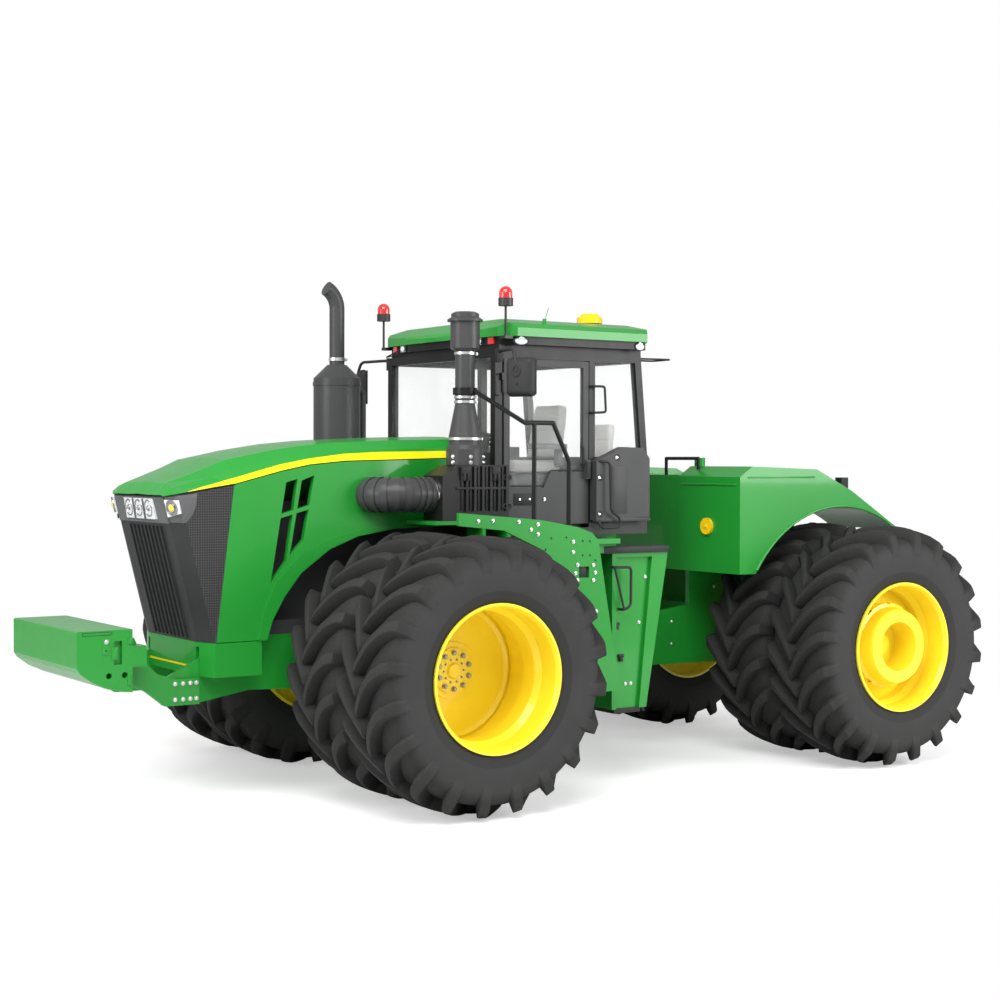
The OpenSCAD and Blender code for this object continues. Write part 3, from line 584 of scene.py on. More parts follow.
def repeat(places, model=None):
    """Copies the model at hand to its places, each copy with its own mesh, and joins the copies."""
    model = model or shut()
    made = []
    for place in places:
        twin = model.copy()
        twin.data = model.data.copy()
        bpy.context.scene.collection.objects.link(twin)
        twin.matrix_world = place
        made.append(twin)
    bpy.data.objects.remove(model)
    return join(made)


def mirrored(piece):
    """Adds the same piece on the other side of the tractor."""
    bpy.ops.object.select_all(action="DESELECT")
    piece.select_set(True)
    bpy.context.view_layer.objects.active = piece
    bpy.ops.object.transform_apply(location=True, rotation=True, scale=True)
    change("MIRROR", use_axis=(False, True, False), use_clip=False, use_mirror_merge=False)
    return bpy.context.object


def row(count, x, y, z):
    """Copies the piece at hand along a straight row, one step after another."""
    return repeat([Matrix.Translation((i * x, i * y, i * z)) for i in range(count)])


def stand(point, normal, turn=0.0):
    """Where a model stands with its own upright along a normal."""
    lean = Vector(normal).to_track_quat("Z", "Y").to_matrix().to_4x4()
    return Matrix.Translation(point) @ lean @ Matrix.Rotation(turn, 4, "Z")


def on_side(y, spots, twist=0):
    """Where fasteners stand on an upright face on the left, each twisted further than the last."""
    return [stand(at(x, y, z), LEFT, twist * i) for i, (x, z) in enumerate(spots)]


def trail(points, closed=False):
    """Draws a line of edges through points, from one vertex extruded on and on."""
    start(bpy.ops.mesh.primitive_plane_add, size=0.1, location=(0, 0, 0))
    bpy.context.tool_settings.mesh_select_mode = (True, False, False)
    bpy.ops.mesh.select_all(action="SELECT")
    bpy.ops.mesh.merge(type="CENTER")
    bpy.ops.mesh.select_all(action="SELECT")
    bpy.ops.transform.translate(value=points[0])
    for here, there in zip(points, points[1:]):
        bpy.ops.mesh.extrude_vertices_move(TRANSFORM_OT_translate={"value": Vector(there) - Vector(here)})
    if closed:
        bpy.ops.mesh.select_all(action="SELECT")
        bpy.ops.mesh.edge_face_add()


def bent_rod(points, radius, corner=0.03, sides=3):
    """A round rod through points, with its corners bent to a radius."""
    trail(points)
    if len(points) > 2 and corner:
        shape = bmesh.from_edit_mesh(bpy.context.object.data)
        for vert in shape.verts:
            vert.select_set(len(vert.link_edges) == 2)
        bmesh.update_edit_mesh(bpy.context.object.data)
        bpy.ops.mesh.bevel(offset=corner, segments=5, affect="VERTICES")
    shut()
    bpy.ops.object.convert(target="CURVE")
    line = bpy.context.object.data
    line.bevel_depth = radius
    line.bevel_resolution = sides
    line.use_fill_caps = True
    bpy.ops.object.convert(target="MESH")
    bpy.ops.object.mode_set(mode="EDIT")
    bpy.ops.mesh.select_all(action="SELECT")
    bpy.ops.mesh.remove_doubles(threshold=0.00001)
    return shut()


def plate(points, thick, round_off=0.002):
    """A flat plate cut to an outline, with its edges broken."""
    trail(points, closed=True)
    change("SOLIDIFY", thickness=thick, offset=1)
    ease(round_off)
    return bpy.context.object


def block(low, high, round_off, panel=0.0, side=UP, depth=0.003):
    """A rounded block, with a sunk or raised field on one side where a panel width is given."""
    size = [h - l for l, h in zip(low, high)]
    middle = [(l + h) / 2 for l, h in zip(low, high)]
    start(bpy.ops.mesh.primitive_cube_add, size=1, location=middle, scale=size)
    if panel:
        pick(lambda centre, normal: normal.dot(Vector(side)) > 0.9)
        bpy.ops.mesh.inset(thickness=panel)
        pull(*(depth * s for s in side))
    ease(round_off)
    return bpy.context.object


def bolt(radius, proud):
    """A flange bolt standing on the origin: a washer, and a head with its edge broken."""
    start(bpy.ops.mesh.primitive_cylinder_add, vertices=12, radius=radius, depth=proud * 0.4,
          location=(0, 0, proud * 0.2))
    pick(lambda centre, normal: normal.z > 0.9)
    bpy.ops.mesh.inset(thickness=radius * 0.28)
    pull(0, 0, proud * 0.6)
    bpy.ops.mesh.bevel(offset=radius * 0.18, segments=1, affect="EDGES")
    return shut()


def hoop(point, axis, radius, width, thick):
    """A clamp band round a pipe, with the ears and the screw that draw it tight."""
    start(bpy.ops.mesh.primitive_cylinder_add, vertices=56, radius=radius, depth=width,
          end_fill_type="NOTHING", location=(0, 0, 0))
    change("SOLIDIFY", thickness=thick, offset=-1)
    ease(thick * 0.3, 1)
    band = bpy.context.object
    ears = block((radius - 0.001, -0.018, -width * 0.45), (radius + 0.022, 0.018, width * 0.45), 0.002,
                 0.004, AHEAD)
    start(bpy.ops.mesh.primitive_cylinder_add, vertices=10, radius=width * 0.22, depth=0.06,
          location=(radius + 0.012, 0, 0), rotation=(math.pi / 2, 0, 0))
    pick(lambda centre, normal: abs(normal.y) > 0.9)
    bpy.ops.mesh.inset(thickness=width * 0.05)
    screw = shut()
    whole = join([band, ears, screw])
    whole.matrix_world = stand(point, axis)
    bpy.ops.object.transform_apply(location=True, rotation=True, scale=True)
    return bpy.context.object


# Pieces of the front unit


def fender_fasteners():
    """The bolts and blanking plugs of both fender plates, and a black block set in each fender window as a dark
    sheet for the shade inside the hole.
    """
    face = 1.613
    spots = [(1.938, 2.142), (1.807, 2.143), (1.567, 2.131), (1.388, 2.108), (1.453, 2.069), (1.387, 2.031),
             (1.05, 1.966), (1.05, 1.884), (1.006, 1.784), (0.852, 1.778), (0.834, 1.718), (1.026, 1.718),
             (1.006, 1.664), (0.851, 1.659), (0.822, 1.411)]
    bolt(0.0155, 0.016)
    mirrored(repeat(on_side(face, spots, 1)))
    settle("fender_bolts", "zinc", "front_unit")
    plugs = [(1.259, 1.999), (1.114, 2.001), (0.955, 1.969), (0.885, 1.967), (0.955, 1.858), (0.885, 1.856),
             (0.83, 1.814), (1.313, 1.911)]
    bolt(0.0085, 0.006)
    piece = repeat(on_side(face, plugs, 1))
    # A black block behind the fender window: a dark sheet that stands for the shade inside the hole, not a part
    # of the tractor.
    window_shade_block = block(at(0.893, 1.5845, 1.683), at(0.987, 1.594, 1.765), 0.003, 0.012, LEFT)
    mirrored(join([piece, window_shade_block]))
    settle("fender_plugs_and_window_shade", "soft_black", "front_unit")


def nose_fasteners():
    """Bolts of the weight carrier, and the fittings on the ends of the weight."""
    bolt(0.0175, 0.018)
    spots = [(x, z) for z in (0.928, 0.81) for x in (3.921, 3.858, 3.799, 3.75)]
    mirrored(repeat(on_side(0.5195, spots, 1) + on_side(0.6805, [(4.522, 1.288)])))
    settle("carrier_bolts", "zinc", "front_unit")
    pads = [block(at(4.436, 0.677, 1.156), at(4.480, 0.687, 1.248), 0.002, 0.006, LEFT),
            block(at(4.322, 0.677, 1.262), at(4.357, 0.687, 1.312), 0.002, 0.006, LEFT),
            block(at(4.328, 0.677, 0.962), at(4.360, 0.687, 1.06), 0.002, 0.006, LEFT),
            block(at(4.495, 0.677, 1.19), at(4.552, 0.684, 1.315), 0.002, 0.005, LEFT)]
    mirrored(join(pads))
    settle("weight_pads", "green", "front_unit")
    slots = [block(at(4.475, 0.672, 1.335), at(4.700, 0.6825, 1.36), 0.001, 0.004, LEFT, -0.004)]
    bolt(0.014, 0.004)
    slots.append(repeat([stand(at(4.524, 0.6835, 1.225), LEFT)]))
    mirrored(join(slots))
    settle("weight_slots", "soft_black", "front_unit")


# The front of the nose: how far ahead and how high its foot is, and how far it comes ahead for its height
NOSE_FOOT = (3.715, 1.225)
NOSE_LEAN = 0.273 / 1.093


def nose_x(z):
    """How far ahead the leaning front of the nose is at a height."""
    return NOSE_FOOT[0] + (z - NOSE_FOOT[1]) * NOSE_LEAN


def lamp_surrounds():
    """The dark housings round the headlamps, on the front, the corners and the sides of the nose."""
    height = 2.222
    start(bpy.ops.mesh.primitive_cube_add, size=1, location=(0, 0, 0), scale=(0.026, 0.955, 0.2))
    pick(lambda centre, normal: normal.x > 0.9)
    bpy.ops.mesh.inset(thickness=0.016)
    pull(-0.005, 0, 0)
    ease(0.004)
    front = bpy.context.object
    middle = Matrix.Translation(at(nose_x(height) + 0.001, 0, height))
    front.matrix_world = middle @ Matrix.Rotation(math.atan(NOSE_LEAN), 4, "Y")
    bpy.ops.object.transform_apply(location=True, rotation=True, scale=True)
    outline = [(3.936, 2.335), (3.906, 2.128), (3.868, 2.150), (3.832, 2.192), (3.808, 2.252), (3.798, 2.312),
               (3.796, 2.352)]
    side = plate([at(x, 0.6475, z) for x, z in outline], -0.012, 0.003)
    corner = plate([at(3.9905, 0.484, 2.326), at(3.9375, 0.648, 2.336), at(3.887, 0.648, 2.13),
                    at(3.943, 0.479, 2.13)], 0.012, 0.003)
    pair = mirrored(join([side, corner]))
    join([pair, front])
    face_out()
    settle("lamp_surround", "bezel", "front_unit")


def lamp_optics():
    """Reflector rims, bulbs and dividers in the headlamps, and the amber middles of the corner lamps."""
    lean = math.atan2(0.028, 0.156)
    face = Vector((math.cos(lean), 0, -math.sin(lean)))
    start(bpy.ops.mesh.primitive_torus_add, major_segments=36, minor_segments=8, major_radius=0.062,
          minor_radius=0.006, location=(0, 0, 0))
    cut_below(-0.003)
    ring = shut()
    start(bpy.ops.mesh.primitive_uv_sphere_add, segments=20, ring_count=10, radius=0.024,
          location=(0, 0, -0.008))
    cut_below(-0.012)
    bowl = join([ring, shut()])
    repeat([stand(at(3.9865, i * 0.19 - 0.012, 2.232), face) for i in (-1, 0, 1)], bowl)
    settle("lamp_reflectors", "steel", "front_unit")
    start(bpy.ops.mesh.primitive_cube_add, size=1, location=(0, 0, 0), scale=(0.05, 0.014, 0.162))
    pick(lambda centre, normal: normal.x > 0.9)
    bpy.ops.mesh.inset(thickness=0.003)
    pull(0.004, 0, 0)
    ease(0.002)
    tilt = Matrix.Rotation(lean, 4, "Y")
    repeat([Matrix.Translation(at(3.968, y, 2.228)) @ tilt for y in (-0.095, 0.095)])
    settle("lamp_dividers", "bezel", "front_unit")
    aim = Vector((0.95, 0.31, -0.235)).normalized()
    spot = at(3.966, 0.573, 2.243) + aim * 0.002
    start(bpy.ops.mesh.primitive_cylinder_add, vertices=36, radius=0.062, depth=0.012, location=(0, 0, 0))
    pick(lambda centre, normal: normal.z > 0.9)
    bpy.ops.mesh.inset(thickness=0.01)
    pull(0, 0, -0.006)
    bpy.ops.mesh.inset(thickness=0.016)
    pull(0, 0, 0.008)
    ease(0.0015, 1)
    rim = bpy.context.object
    rim.matrix_world = stand(spot, aim)
    mirrored(rim)
    settle("corner_rims", "steel", "front_unit")
    start(bpy.ops.mesh.primitive_uv_sphere_add, segments=24, ring_count=12, radius=0.03, location=(0, 0, 0))
    bpy.ops.mesh.select_all(action="SELECT")
    bpy.ops.transform.resize(value=(1, 1, 0.45))
    cut_below(-0.008)
    dome = shut()
    dome.matrix_world = stand(spot + aim * 0.004, aim)
    mirrored(dome)
    settle("corner_ambers", "amber", "front_unit")


def lid_seal():
    """The rubber seal that the hood lid shuts down on."""
    inset = 0.632
    edge = [(1.43, inset, 2.622), (2.0, inset, 2.605), (2.543, inset, 2.591), (2.858, inset, 2.562),
            (3.1, inset, 2.514), (3.48, inset, 2.416), (3.652, inset, 2.39), (3.94, inset, 2.341),
            (3.982, 0.475, 2.321)]
    bent_rod([at(*p) for p in edge] + [at(x, -y, z) for x, y, z in reversed(edge)], 0.009, 0.02)
    settle("lid_seal", "soft_black", "front_unit", 60)


def stack_fittings():
    """Clamp bands of the intake stack and of its hose, and the bolts on the stack's foot."""
    x, y = 1.62, 0.93
    sizes = ((2.772, 0.136, 0.022), (3.066, 0.086, 0.022), (3.104, 0.086, 0.022), (3.452, 0.086, 0.024))
    bands = [hoop(at(x, y, z), UP, radius, width, 0.006) for z, radius, width in sizes]
    bands.append(hoop(at(1.929, 0.8903, 2.33), AHEAD, 0.137, 0.017, 0.006))
    bands.append(hoop(at(1.795, -0.87, 3.48), UP, 0.073, 0.03, 0.006))
    join(bands)
    settle("pipe_clamps", "zinc", "front_unit")
    bolt(0.016, 0.018)
    places = []
    for turn in (20, 75, 130):
        angle = math.radians(turn)
        out = Vector((math.cos(angle), math.sin(angle), 0))
        places += [stand(at(x, y, z) + out * 0.15, out) for z in (2.585, 2.63)]
    repeat(places)
    settle("stack_bolts", "zinc", "front_unit")


def cleaner_fittings():
    """Fine ribs, clips and eyes over the face of the air cleaner."""
    block(at(1.353, 1.072, 2.205), at(1.369, 1.087, 2.55), 0.003, 0.004, LEFT)
    parts = [row(6, 0.076, 0, 0)]
    join([block(at(1.394, 1.07, 2.49), at(1.466, 1.106, 2.553), 0.004, 0.008, LEFT),
          block(at(1.404, 1.08, 2.44), at(1.422, 1.112, 2.5), 0.003, 0.004, LEFT),
          block(at(1.438, 1.08, 2.44), at(1.456, 1.112, 2.5), 0.003, 0.004, LEFT)])
    parts.append(row(2, 0.285, 0, 0))
    parts.append(block(at(1.293, 1.06, 2.37), at(1.79, 1.09, 2.39), 0.003, 0.004, LEFT))
    eye = at(1.318, 1.085, 2.235)
    start(bpy.ops.mesh.primitive_torus_add, major_segments=24, minor_segments=8, major_radius=0.03,
          minor_radius=0.008, location=eye, rotation=(math.pi / 2, 0, 0))
    bpy.ops.mesh.select_all(action="SELECT")
    bpy.ops.transform.resize(value=(1.25, 1, 0.7), center_override=eye)
    parts.append(row(2, 0, 0, 0.23))
    join(parts)
    settle("cleaner_clips", "soft_black", "front_unit")


def cab_fittings():
    """Grab handles, loops and bolts on the cab's left side, with the aerial and wires of the roof."""
    rods = [bent_rod([at(0.318, 0.855, 3.225), at(0.318, 0.925, 3.225), at(0.224, 0.93, 3.225),
                      at(0.212, 0.93, 3.01), at(0.318, 0.925, 3.004), at(0.318, 0.855, 3.004)], 0.0105, 0.022),
            bent_rod([at(0.298, 0.945, 2.60), at(0.215, 0.995, 2.59), at(0.205, 1.0, 2.18), at(0.11, 1.0, 2.12),
                      at(0.11, 1.0, 2.045), at(0.30, 1.0, 2.035), at(0.30, 0.945, 2.11)], 0.0105, 0.03),
            bent_rod([at(1.24, 0.842, 3.30), at(1.31, 0.9, 3.3), at(1.31, 0.9, 3.13), at(1.24, 0.842, 3.13)],
                     0.008, 0.02),
            bent_rod([at(1.25, -0.60, 3.60), at(1.312, -0.78, 3.53), at(1.29, -0.9, 3.515),
                      at(1.18, -0.86, 3.545)], 0.006, 0.04),
            bent_rod([at(-0.20, 0.80, 3.48), at(-0.55, 0.86, 3.48), at(-0.55, 0.60, 3.478),
                      at(-0.20, 0.60, 3.478)], 0.008, 0.04)]
    join(rods)
    settle("cab_grabs", "soft_black", "front_unit")
    join([bent_rod([at(0.83, 0.9, 3.70), at(0.825, 0.9, 3.765)], 0.017, 0),
          bent_rod([at(0.826, 0.9, 3.74), at(0.785, 0.9, 3.86)], 0.003, 0)])
    settle("roof_aerial", "green", "front_unit")
    spots = ((0.295, 2.46), (0.293, 2.154), (0.112, 2.63))
    bolt(0.015, 0.014)
    repeat(on_side(0.9495, spots))
    settle("cab_bolts", "zinc", "front_unit")
    bolt(0.03, 0.008)
    repeat(on_side(0.9485, [(x - 0.008, z) for x, z in spots]))
    settle("cab_grommets", "soft_black", "front_unit")
    panel = block(at(0.0, 0.945, 2.16), at(0.16, 0.957, 2.56), 0.004, 0.012, LEFT)
    lip = block(at(-0.25, 0.90, 2.09), at(0.325, 0.958, 2.118), 0.005, 0.006, (0, 0, -1))
    join([panel, lip])
    settle("cab_panel", "panel", "front_unit")


def door_fittings():
    """Hinge strap, latch, pull bar, seal and bolts that swing with the door."""
    strap = block(at(0.91, 0.8585, 2.235), at(1.10, 0.866, 2.332), 0.004, 0.01, LEFT)
    latch = block(at(0.349, 0.899, 2.462), at(0.389, 0.909, 2.595), 0.004, 0.007, LEFT)
    pull_bar = bent_rod([at(0.42, y, z) for y, z in ((0.858, 2.72), (0.90, 2.72), (0.90, 2.57), (0.858, 2.57))],
                        0.009, 0.02)
    seal = bent_rod([at(x, 0.861, z) for x, z in ((0.40, 2.52), (0.735, 2.52), (0.803, 2.393), (1.128, 2.393))],
                    0.006, 0.02)
    join([strap, latch, pull_bar, seal])
    settle("door_latch", "soft_black", "door")
    bolt(0.0145, 0.014)
    repeat(on_side(0.862, ((1.046, 2.283), (0.947, 2.284), (0.795, 2.282))))
    settle("door_bolts", "zinc", "door")


def mirror_heads():
    """Both mirrors: a rounded shell turned towards the seat, its glass, and the arm that carries it."""
    turn = Matrix.Translation(at(1.31, 1.27, 3.262)) @ Matrix.Rotation(math.radians(25), 4, "Z")
    start(bpy.ops.mesh.primitive_cube_add, size=1, location=(0.01, 0, 0), scale=(0.095, 0.262, 0.325))
    pick(lambda centre, normal: normal.x > 0.9)
    bpy.ops.transform.resize(value=(1, 0.9, 0.92))
    ease(0.042, 6)
    bpy.ops.object.mode_set(mode="EDIT")
    pick(lambda centre, normal: normal.x < -0.99)
    pull(0, 0, 0)
    bpy.ops.transform.resize(value=(1, 1.2, 1.15))
    pull(0.009, 0, 0)
    shell = shut()
    boss = (0.056, -0.012, 0.045)
    start(bpy.ops.mesh.primitive_torus_add, major_segments=24, minor_segments=8, major_radius=0.034,
          minor_radius=0.009, location=boss, rotation=(0, math.pi / 2, 0))
    bpy.ops.mesh.select_all(action="SELECT")
    bpy.ops.transform.resize(value=(1, 1, 1.2), center_override=boss)
    socket = shut()
    bolt(0.013, 0.012)
    screws = repeat([stand(boss, AHEAD), stand((0.056, -0.01, -0.055), AHEAD)])
    head = join([shell, socket, screws])
    head.matrix_world = turn
    bpy.ops.object.transform_apply(location=True, rotation=True, scale=True)
    arm = bent_rod([at(1.25, 0.845, 3.475), at(1.262, 0.93, 3.49), at(1.355, 1.215, 3.485),
                    at(1.362, 1.262, 3.40), at(1.362, 1.283, 3.30)], 0.013, 0.035)
    foot = block(at(1.225, 0.855, 3.40), at(1.285, 0.89, 3.51), 0.006, 0.008, LEFT)
    for part in (head, arm, foot):
        wear(part, "soft_black")
    start(bpy.ops.mesh.primitive_cube_add, size=1, location=(-0.031, 0, 0), scale=(0.004, 0.216, 0.28))
    pick(lambda centre, normal: normal.x < -0.9)
    bpy.ops.mesh.inset(thickness=0.006)
    pull(-0.002, 0, 0)
    ease(0.001, 1)
    glass = bpy.context.object
    wear(glass, "chrome")
    glass.matrix_world = turn
    mirrored(join([head, arm, foot, glass]))
    pair = settle("mirror_pair", None, "front_unit")
    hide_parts("mirrors")


def roof_lights():
    """Oval work lamps under the roof's edge: a black surround and a fluted lens."""
    spots = [(at(1.10, 0.957, 3.570), LEFT, 0.078), (at(-0.125, 0.957, 3.570), LEFT, 0.058),
             (at(1.281, 0.605, 3.577), (1, 0.11, 0), 0.052)]
    half_height = 0.037
    layers = (("roof_lamp_rims", "soft_black", 1.0, 0.012, "black_plastic"),
              ("roof_lamp_lenses", "lamp", 0.86, 0.018, "lamp_clear"))
    for name, finish, share, depth, slot in layers:
        made = []
        for point, normal, half_width in spots:
            start(bpy.ops.mesh.primitive_uv_sphere_add, segments=32, ring_count=12, radius=1,
                  location=(0, 0, 0))
            bpy.ops.mesh.select_all(action="SELECT")
            bpy.ops.transform.resize(value=(half_width * share, half_height * share, depth))
            cut_below(-0.001)
            cap = shut()
            cap.matrix_world = stand(point, normal)
            made.append(cap)
        mirrored(join(made))
        settle(name, finish, "front_unit")


def ladder_fittings():
    """The grab loop, bolts, tread bar, latches and foot step of the ladder."""
    parts = [bent_rod([at(0.575, 1.482, 1.746), at(0.575, 1.53, 1.746), at(0.405, 1.53, 1.742),
                       at(0.408, 1.53, 1.43), at(0.47, 1.53, 1.40), at(0.47, 1.446, 1.40)], 0.0115, 0.03),
             bent_rod([at(0.57, 1.53, 1.738), at(0.475, 1.53, 1.402)], 0.0095, 0),
             block(at(-0.012, 1.40, 1.855), at(0.66, 1.50, 1.905), 0.006, 0.012, UP),
             block(at(0.26, 1.19, 0.555), at(0.53, 1.47, 0.592), 0.006, 0.02, UP),
             bent_rod([at(0.29, 1.455, 0.57), at(0.24, 1.46, 0.60), at(0.22, 1.46, 0.56)], 0.014, 0.01)]
    join([block(at(0.469, 1.446, 1.27), at(0.525, 1.468, 1.294), 0.003, 0.004, LEFT),
          block(at(0.485, 1.446, 1.237), at(0.515, 1.475, 1.274), 0.004, 0.004, LEFT)])
    parts.append(row(2, -0.045, 0, -0.262))
    join(parts)
    settle("ladder_grabs", "soft_black", "front_unit")
    bolt(0.0145, 0.014)
    places = on_side(1.4495, ((0.20, 1.654), (0.262, 1.284), (0.345, 0.79), (0.40, 0.79)))
    places += [stand(at(0.5585, 1.36, z), AHEAD) for z in (1.655, 1.39)]
    repeat(places)
    settle("ladder_bolts", "zinc", "front_unit")


def deck_treads():
    """Grip bars across both walkways."""
    block(at(0.62, 0.98, 1.978), at(0.67, 1.5, 1.986), 0.003, 0.006, UP)
    mirrored(row(8, 0.11, 0, 0))
    settle("deck_treads", "soft_black", "front_unit")


# Pieces of the rear unit and the wheels


def arch_lips():
    """Rolled lips along the arches of the rear fenders."""
    radius, first, sweep, steps = 1.196, 33, 88, 24
    angles = [math.radians(first + i * sweep / steps) for i in range(steps + 1)]
    points = [at(-HALF_BASE + math.cos(a) * radius, 1.378, AXLE_UP + math.sin(a) * radius) for a in angles]
    mirrored(bent_rod(points, 0.013, 0))
    settle("arch_lips", "green", "rear_unit", 60)


def tank_fittings():
    """The seams of the tanks, the bolts of the frame below them, and the latches of the filler caps."""
    strips = [block(at(-0.893, 0.60, 2.39), at(-0.882, 1.34, 2.41), 0.003, 0.004, AHEAD),
              block(at(-1.76, 1.372, 2.455), at(-0.98, 1.386, 2.47), 0.003, 0.004, LEFT)]
    mirrored(join(strips))
    settle("tank_seams", "green", "rear_unit")
    bolt(0.016, 0.014)
    spots = ((-0.95, 1.15), (-0.95, 0.95), (-1.45, 1.45), (-1.75, 1.45), (-2.6, 1.05))
    mirrored(repeat(on_side(0.3995, spots)))
    settle("chassis_bolts", "zinc", "rear_unit")
    mirrored(block(at(-0.865, 0.942, 2.02), at(-0.852, 0.982, 2.05), 0.003, 0.005, AHEAD))
    settle("cap_latches", "yellow_cap", "rear_unit")


def rear_fittings():
    """Tail lenses on the fenders, and the row of capped couplers over the drawbar."""
    mirrored(block(at(-2.207, 1.272, 2.352), at(-2.196, 1.348, 2.456), 0.003, 0.007, (-1, 0, 0), -0.004))
    settle("tail_frames", "soft_black", "rear_unit")
    start(bpy.ops.mesh.primitive_cube_add, size=1, location=at(-2.205, 1.31, 2.404),
          scale=(0.012, 0.058, 0.086))
    pick(lambda centre, normal: normal.x < -0.9)
    bpy.ops.mesh.inset(thickness=0.008)
    pull(-0.005, 0, 0)
    ease(0.004, 3)
    mirrored(bpy.context.object)
    settle("tail_lenses", "tail", "rear_unit")
    start(bpy.ops.mesh.primitive_cylinder_add, vertices=24, radius=0.034, depth=0.05, location=(0, 0, 0.02))
    pick(lambda centre, normal: normal.z > 0.9)
    bpy.ops.mesh.inset(thickness=0.006)
    pull(0, 0, 0.022)
    bpy.ops.mesh.inset(thickness=0.008)
    pull(0, 0, -0.014)
    ease(0.002, 2)
    repeat([stand(at(-2.899, y, z), (-1, 0, 0)) for z in (1.03, 1.13)
            for y in (-0.225, -0.075, 0.075, 0.225)])
    settle("rear_couplers", "soft_black", "rear_unit")


def on_hub(hub, side, radius, first):
    """Where ten fasteners stand on a circle round a hub, from a first angle on."""
    angles = [math.radians(first + 36 * i) for i in range(10)]
    return [stand(hub + Vector((math.cos(a), 0, math.sin(a))) * radius, (0, side, 0)) for a in angles]


def wheel_fasteners():
    """Hub bolts and studs of the front wheels, and nuts in the pockets of the rear ones."""
    for side, mark in ((1, "left"), (-1, "right")):
        hub = Vector((AXLE_FRONT, side * 1.511, AXLE_Z))
        bolt(0.021, 0.03)
        ring = repeat(on_hub(hub, side, 0.138, 18))
        bolt(0.009, 0.012)
        studs = repeat(on_hub(hub, side, 0.088, 0))
        join([ring, studs])
        settle("hub_bolts_front_" + mark, "steel", "wheel_front_" + mark)
        hub = Vector((AXLE_REAR, side * 1.904, AXLE_Z))
        bolt(0.022, 0.028)
        repeat(on_hub(hub, side, 0.352, 90))
        settle("hub_bolts_rear_" + mark, "yellow", "wheel_rear_" + mark)


# Tyres

LUGS = 20
TYRE_MIDDLES = (1.025, 1.81)
# Across the tyre and out from its axle: half of the bare carcass, and a lug's top from its nose to the shoulder
CARCASS = [(0.15, 0.938), (0.22, 0.934), (0.272, 0.926), (0.306, 0.911), (0.330, 0.887), (0.346, 0.856),
           (0.353, 0.818), (0.355, 0.775), (0.352, 0.715), (0.343, 0.660), (0.328, 0.606), (0.314, 0.572),
           (0.308, 0.558), (0.303, 0.5345)]
LUG_TOP = [(-0.012, 1.036), (0.03, 1.038), (0.07, 1.038), (0.11, 1.038), (0.155, 1.037), (0.21, 1.030),
           (0.26, 1.020), (0.305, 1.002), (0.343, 0.973), (0.3605, 0.898), (0.3655, 0.835), (0.357, 0.80)]


def carcass():
    """The tyre without its lugs, a closed outline turned round the axle."""
    half = [(0, y, out) for y, out in CARCASS]
    trail(half[::-1] + [(0, -y, out) for x, y, out in half] + [half[-1]])
    bpy.ops.mesh.select_all(action="SELECT")
    bpy.ops.mesh.remove_doubles(threshold=0.0001)
    change("SCREW", axis="Y", angle=2 * math.pi, steps=120, render_steps=120, use_merge_vertices=True)
    return face_out()


def lug(hand):
    """A bar that leads at its nose, swings round to lie across the tread, and runs down the shoulder."""
    sections = len(LUG_TOP) - 1
    reach, sweep, curl, lead = 0.3775, 0.36, 1.7, 0.42
    nose_half, widening, flank, depth, tuck = 0.034, 0.009, 0.03, 0.112, 0.02
    start(bpy.ops.mesh.primitive_grid_add, x_subdivisions=sections, y_subdivisions=1, size=1)
    bpy.ops.mesh.select_all(action="SELECT")
    pull(0, 0, 1)
    piece = shut()
    for vert in piece.data.vertices:
        foot = vert.co.z < 0.5
        section = round((vert.co.x + 0.5) * sections)
        y, out = LUG_TOP[section]
        share = min(1.0, (y - LUG_TOP[0][0]) / reach)
        half = nose_half + widening * share + (flank if foot else 0)
        along = sweep * ((1 - share) ** curl - lead) + math.copysign(half, vert.co.y)
        if foot:
            shoulder = min(1.0, max(0.0, (y - 0.24) / 0.06))
            y -= tuck * max(section == 0, shoulder)
            out -= depth
        vert.co = (out * math.sin(along), hand * y, out * math.cos(along))
    face_out()
    ease(0.008, 2)


def tyres():
    """Eight tyres from one model, a carcass with two staggered rows of lugs, in pairs on their wheels."""
    parts = [carcass()]
    pitch = 2 * math.pi / LUGS
    for hand, shift in ((1, 0), (-1, 0.5)):
        lug(hand)
        parts.append(repeat([Matrix.Rotation(pitch * (i + shift), 4, "Y") for i in range(LUGS)]))
    model = join(parts)
    for axle, x in (("front", AXLE_FRONT), ("rear", AXLE_REAR)):
        for side, mark in ((1, "left"), (-1, "right")):
            turn = Matrix.Rotation(pitch / 2 if side < 0 else 0, 4, "Y")
            twin = model.copy()
            twin.data = model.data.copy()
            pair = repeat([Matrix.Translation((x, side * y, AXLE_Z)) @ turn for y in TYRE_MIDDLES], twin)
            settle(f"tread_{axle}_{mark}", "rubber_" + axle, f"wheel_{axle}_{mark}")
            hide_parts(f"tyres_{axle}_{mark}")
    bpy.data.objects.remove(model)


# Padded seats


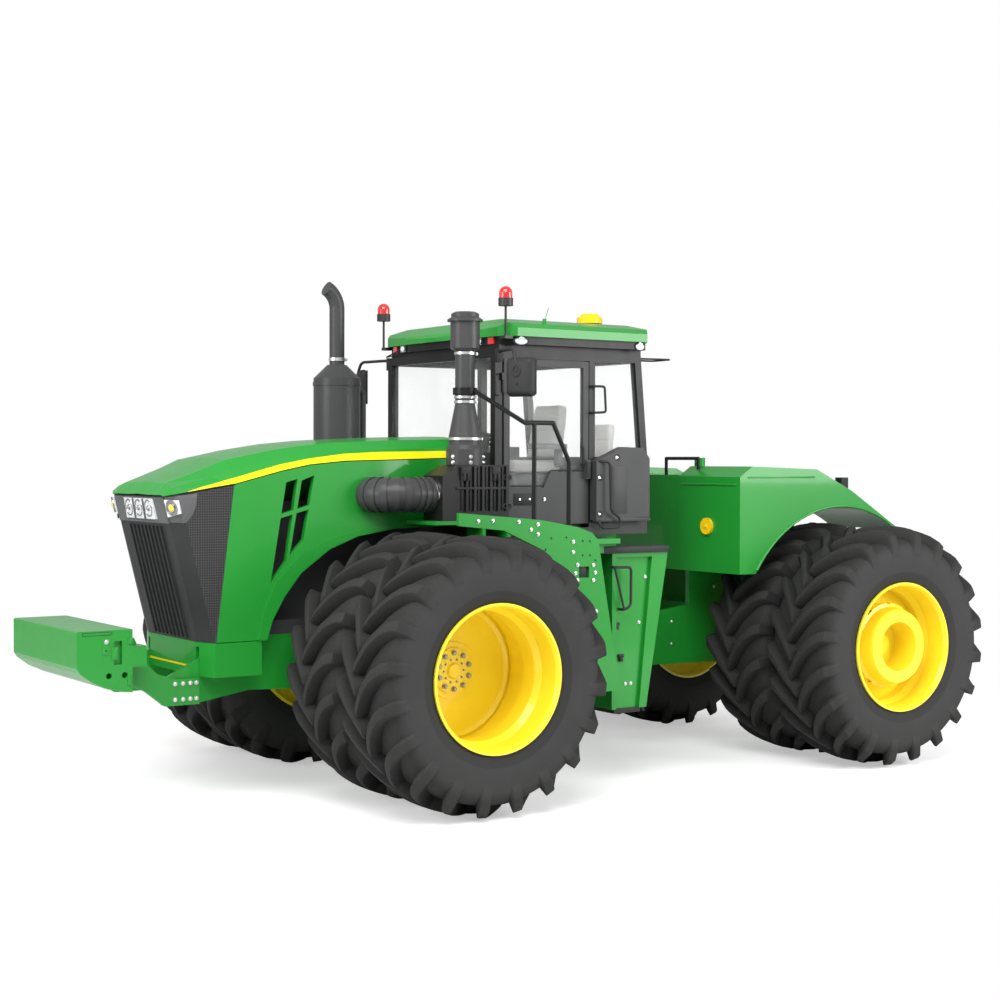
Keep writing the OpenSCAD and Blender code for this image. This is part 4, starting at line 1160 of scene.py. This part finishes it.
def pad(low, high, lean, swell, pinch, narrow=0.0):
    """A stuffed pad: a shaped block, blown up as cloth and held to a small swell, with sewn channels."""
    voxel, pressure, steps = 0.012, 4, 20
    channel, dip_share, taper_from = 0.009, 0.16, 0.55
    middle = (Vector(low) + Vector(high)) / 2
    size = Vector(high) - Vector(low)
    start(bpy.ops.mesh.primitive_cube_add, size=1, location=(0, 0, 0),
          scale=size - Vector((swell, swell, swell)) * 1.6)
    bpy.ops.mesh.select_all(action="SELECT")
    bpy.ops.mesh.subdivide(number_cuts=6)
    change("BEVEL", width=min(size) * 0.22, segments=3, limit_method="ANGLE", angle_limit=math.radians(60))
    piece = bpy.context.object
    piece.data.remesh_voxel_size = voxel
    bpy.ops.object.voxel_remesh()
    before = [v.co.copy() for v in piece.data.vertices]
    cloth = piece.modifiers.new("cloth", "CLOTH")
    cloth.settings.use_pressure = True
    cloth.settings.uniform_pressure_force = pressure
    cloth.settings.effector_weights.gravity = 0
    for step in range(1, steps + 1):
        bpy.context.scene.frame_set(step)
    bpy.ops.object.modifier_apply(modifier="cloth")
    bpy.context.scene.frame_set(1)
    for vert, old in zip(piece.data.vertices, before):
        move = vert.co - old
        if move.length > swell:
            vert.co = old + move.normalized() * swell
    change("SUBSURF", levels=1, render_levels=1)
    flat = min(range(3), key=lambda i: size[i])
    along = 1 if flat == 2 else 2
    for vert in piece.data.vertices:
        share = vert.co[along] / size[along] + 0.5
        dip = sum(math.exp(-((share - line) * size[along] / channel) ** 2) for line in pinch)
        vert.co[flat] *= 1 - dip * dip_share
        if narrow and share > taper_from:
            vert.co.y *= 1 - narrow * ((share - taper_from) / (1 - taper_from)) ** 2
    piece.matrix_world = Matrix.Translation(middle) @ Matrix.Rotation(lean, 4, "Y")
    bpy.ops.object.transform_apply(location=True, rotation=True, scale=True)
    return piece


def seats():
    """The operator's seat and the folding seat beside it."""
    lean = -math.atan2(0.106, 0.598)
    parts = [pad(at(0.172, -0.256, 2.492), at(0.676, 0.256, 2.604), 0, 0.012, (0.36, 0.66)),
             pad(at(0.094, -0.23, 2.600), at(0.206, 0.23, 3.11), lean, 0.014, (0.26, 0.5, 0.74), 0.22)]
    seat = join(parts)
    settle("operator_pads", "seat", "front_unit", 80)
    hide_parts("operator_seat")
    lean = -math.atan2(0.048, 0.48)
    parts = [pad(at(-0.049, 0.402, 2.374), at(0.302, 0.718, 2.458), 0, 0.01, (0.5,)),
             pad(at(-0.072, 0.422, 2.458), at(0.0, 0.698, 2.936), lean, 0.012, (0.33, 0.66), 0.16)]
    seat = join(parts)
    settle("second_pads", "seat", "front_unit", 80)
    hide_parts("second_seat")
    join([block(at(0.19, 0.285, 2.70), at(0.56, 0.355, 2.745), 0.014, 0.012, UP),
          block(at(0.20, 0.235, 2.56), at(0.25, 0.30, 2.73), 0.01, 0.008, AHEAD)])
    settle("seat_arm", "grey", "front_unit")


aim_camera()
light_studio()
lay_floor()
kit = coat_nodes()
smooth_nodes()

for make in (fender_fasteners, nose_fasteners, lamp_surrounds, lamp_optics, lid_seal, stack_fittings,
             cleaner_fittings, cab_fittings, door_fittings, mirror_heads, roof_lights, ladder_fittings,
             deck_treads, arch_lips, tank_fittings, rear_fittings, wheel_fasteners, tyres, seats):
    make()
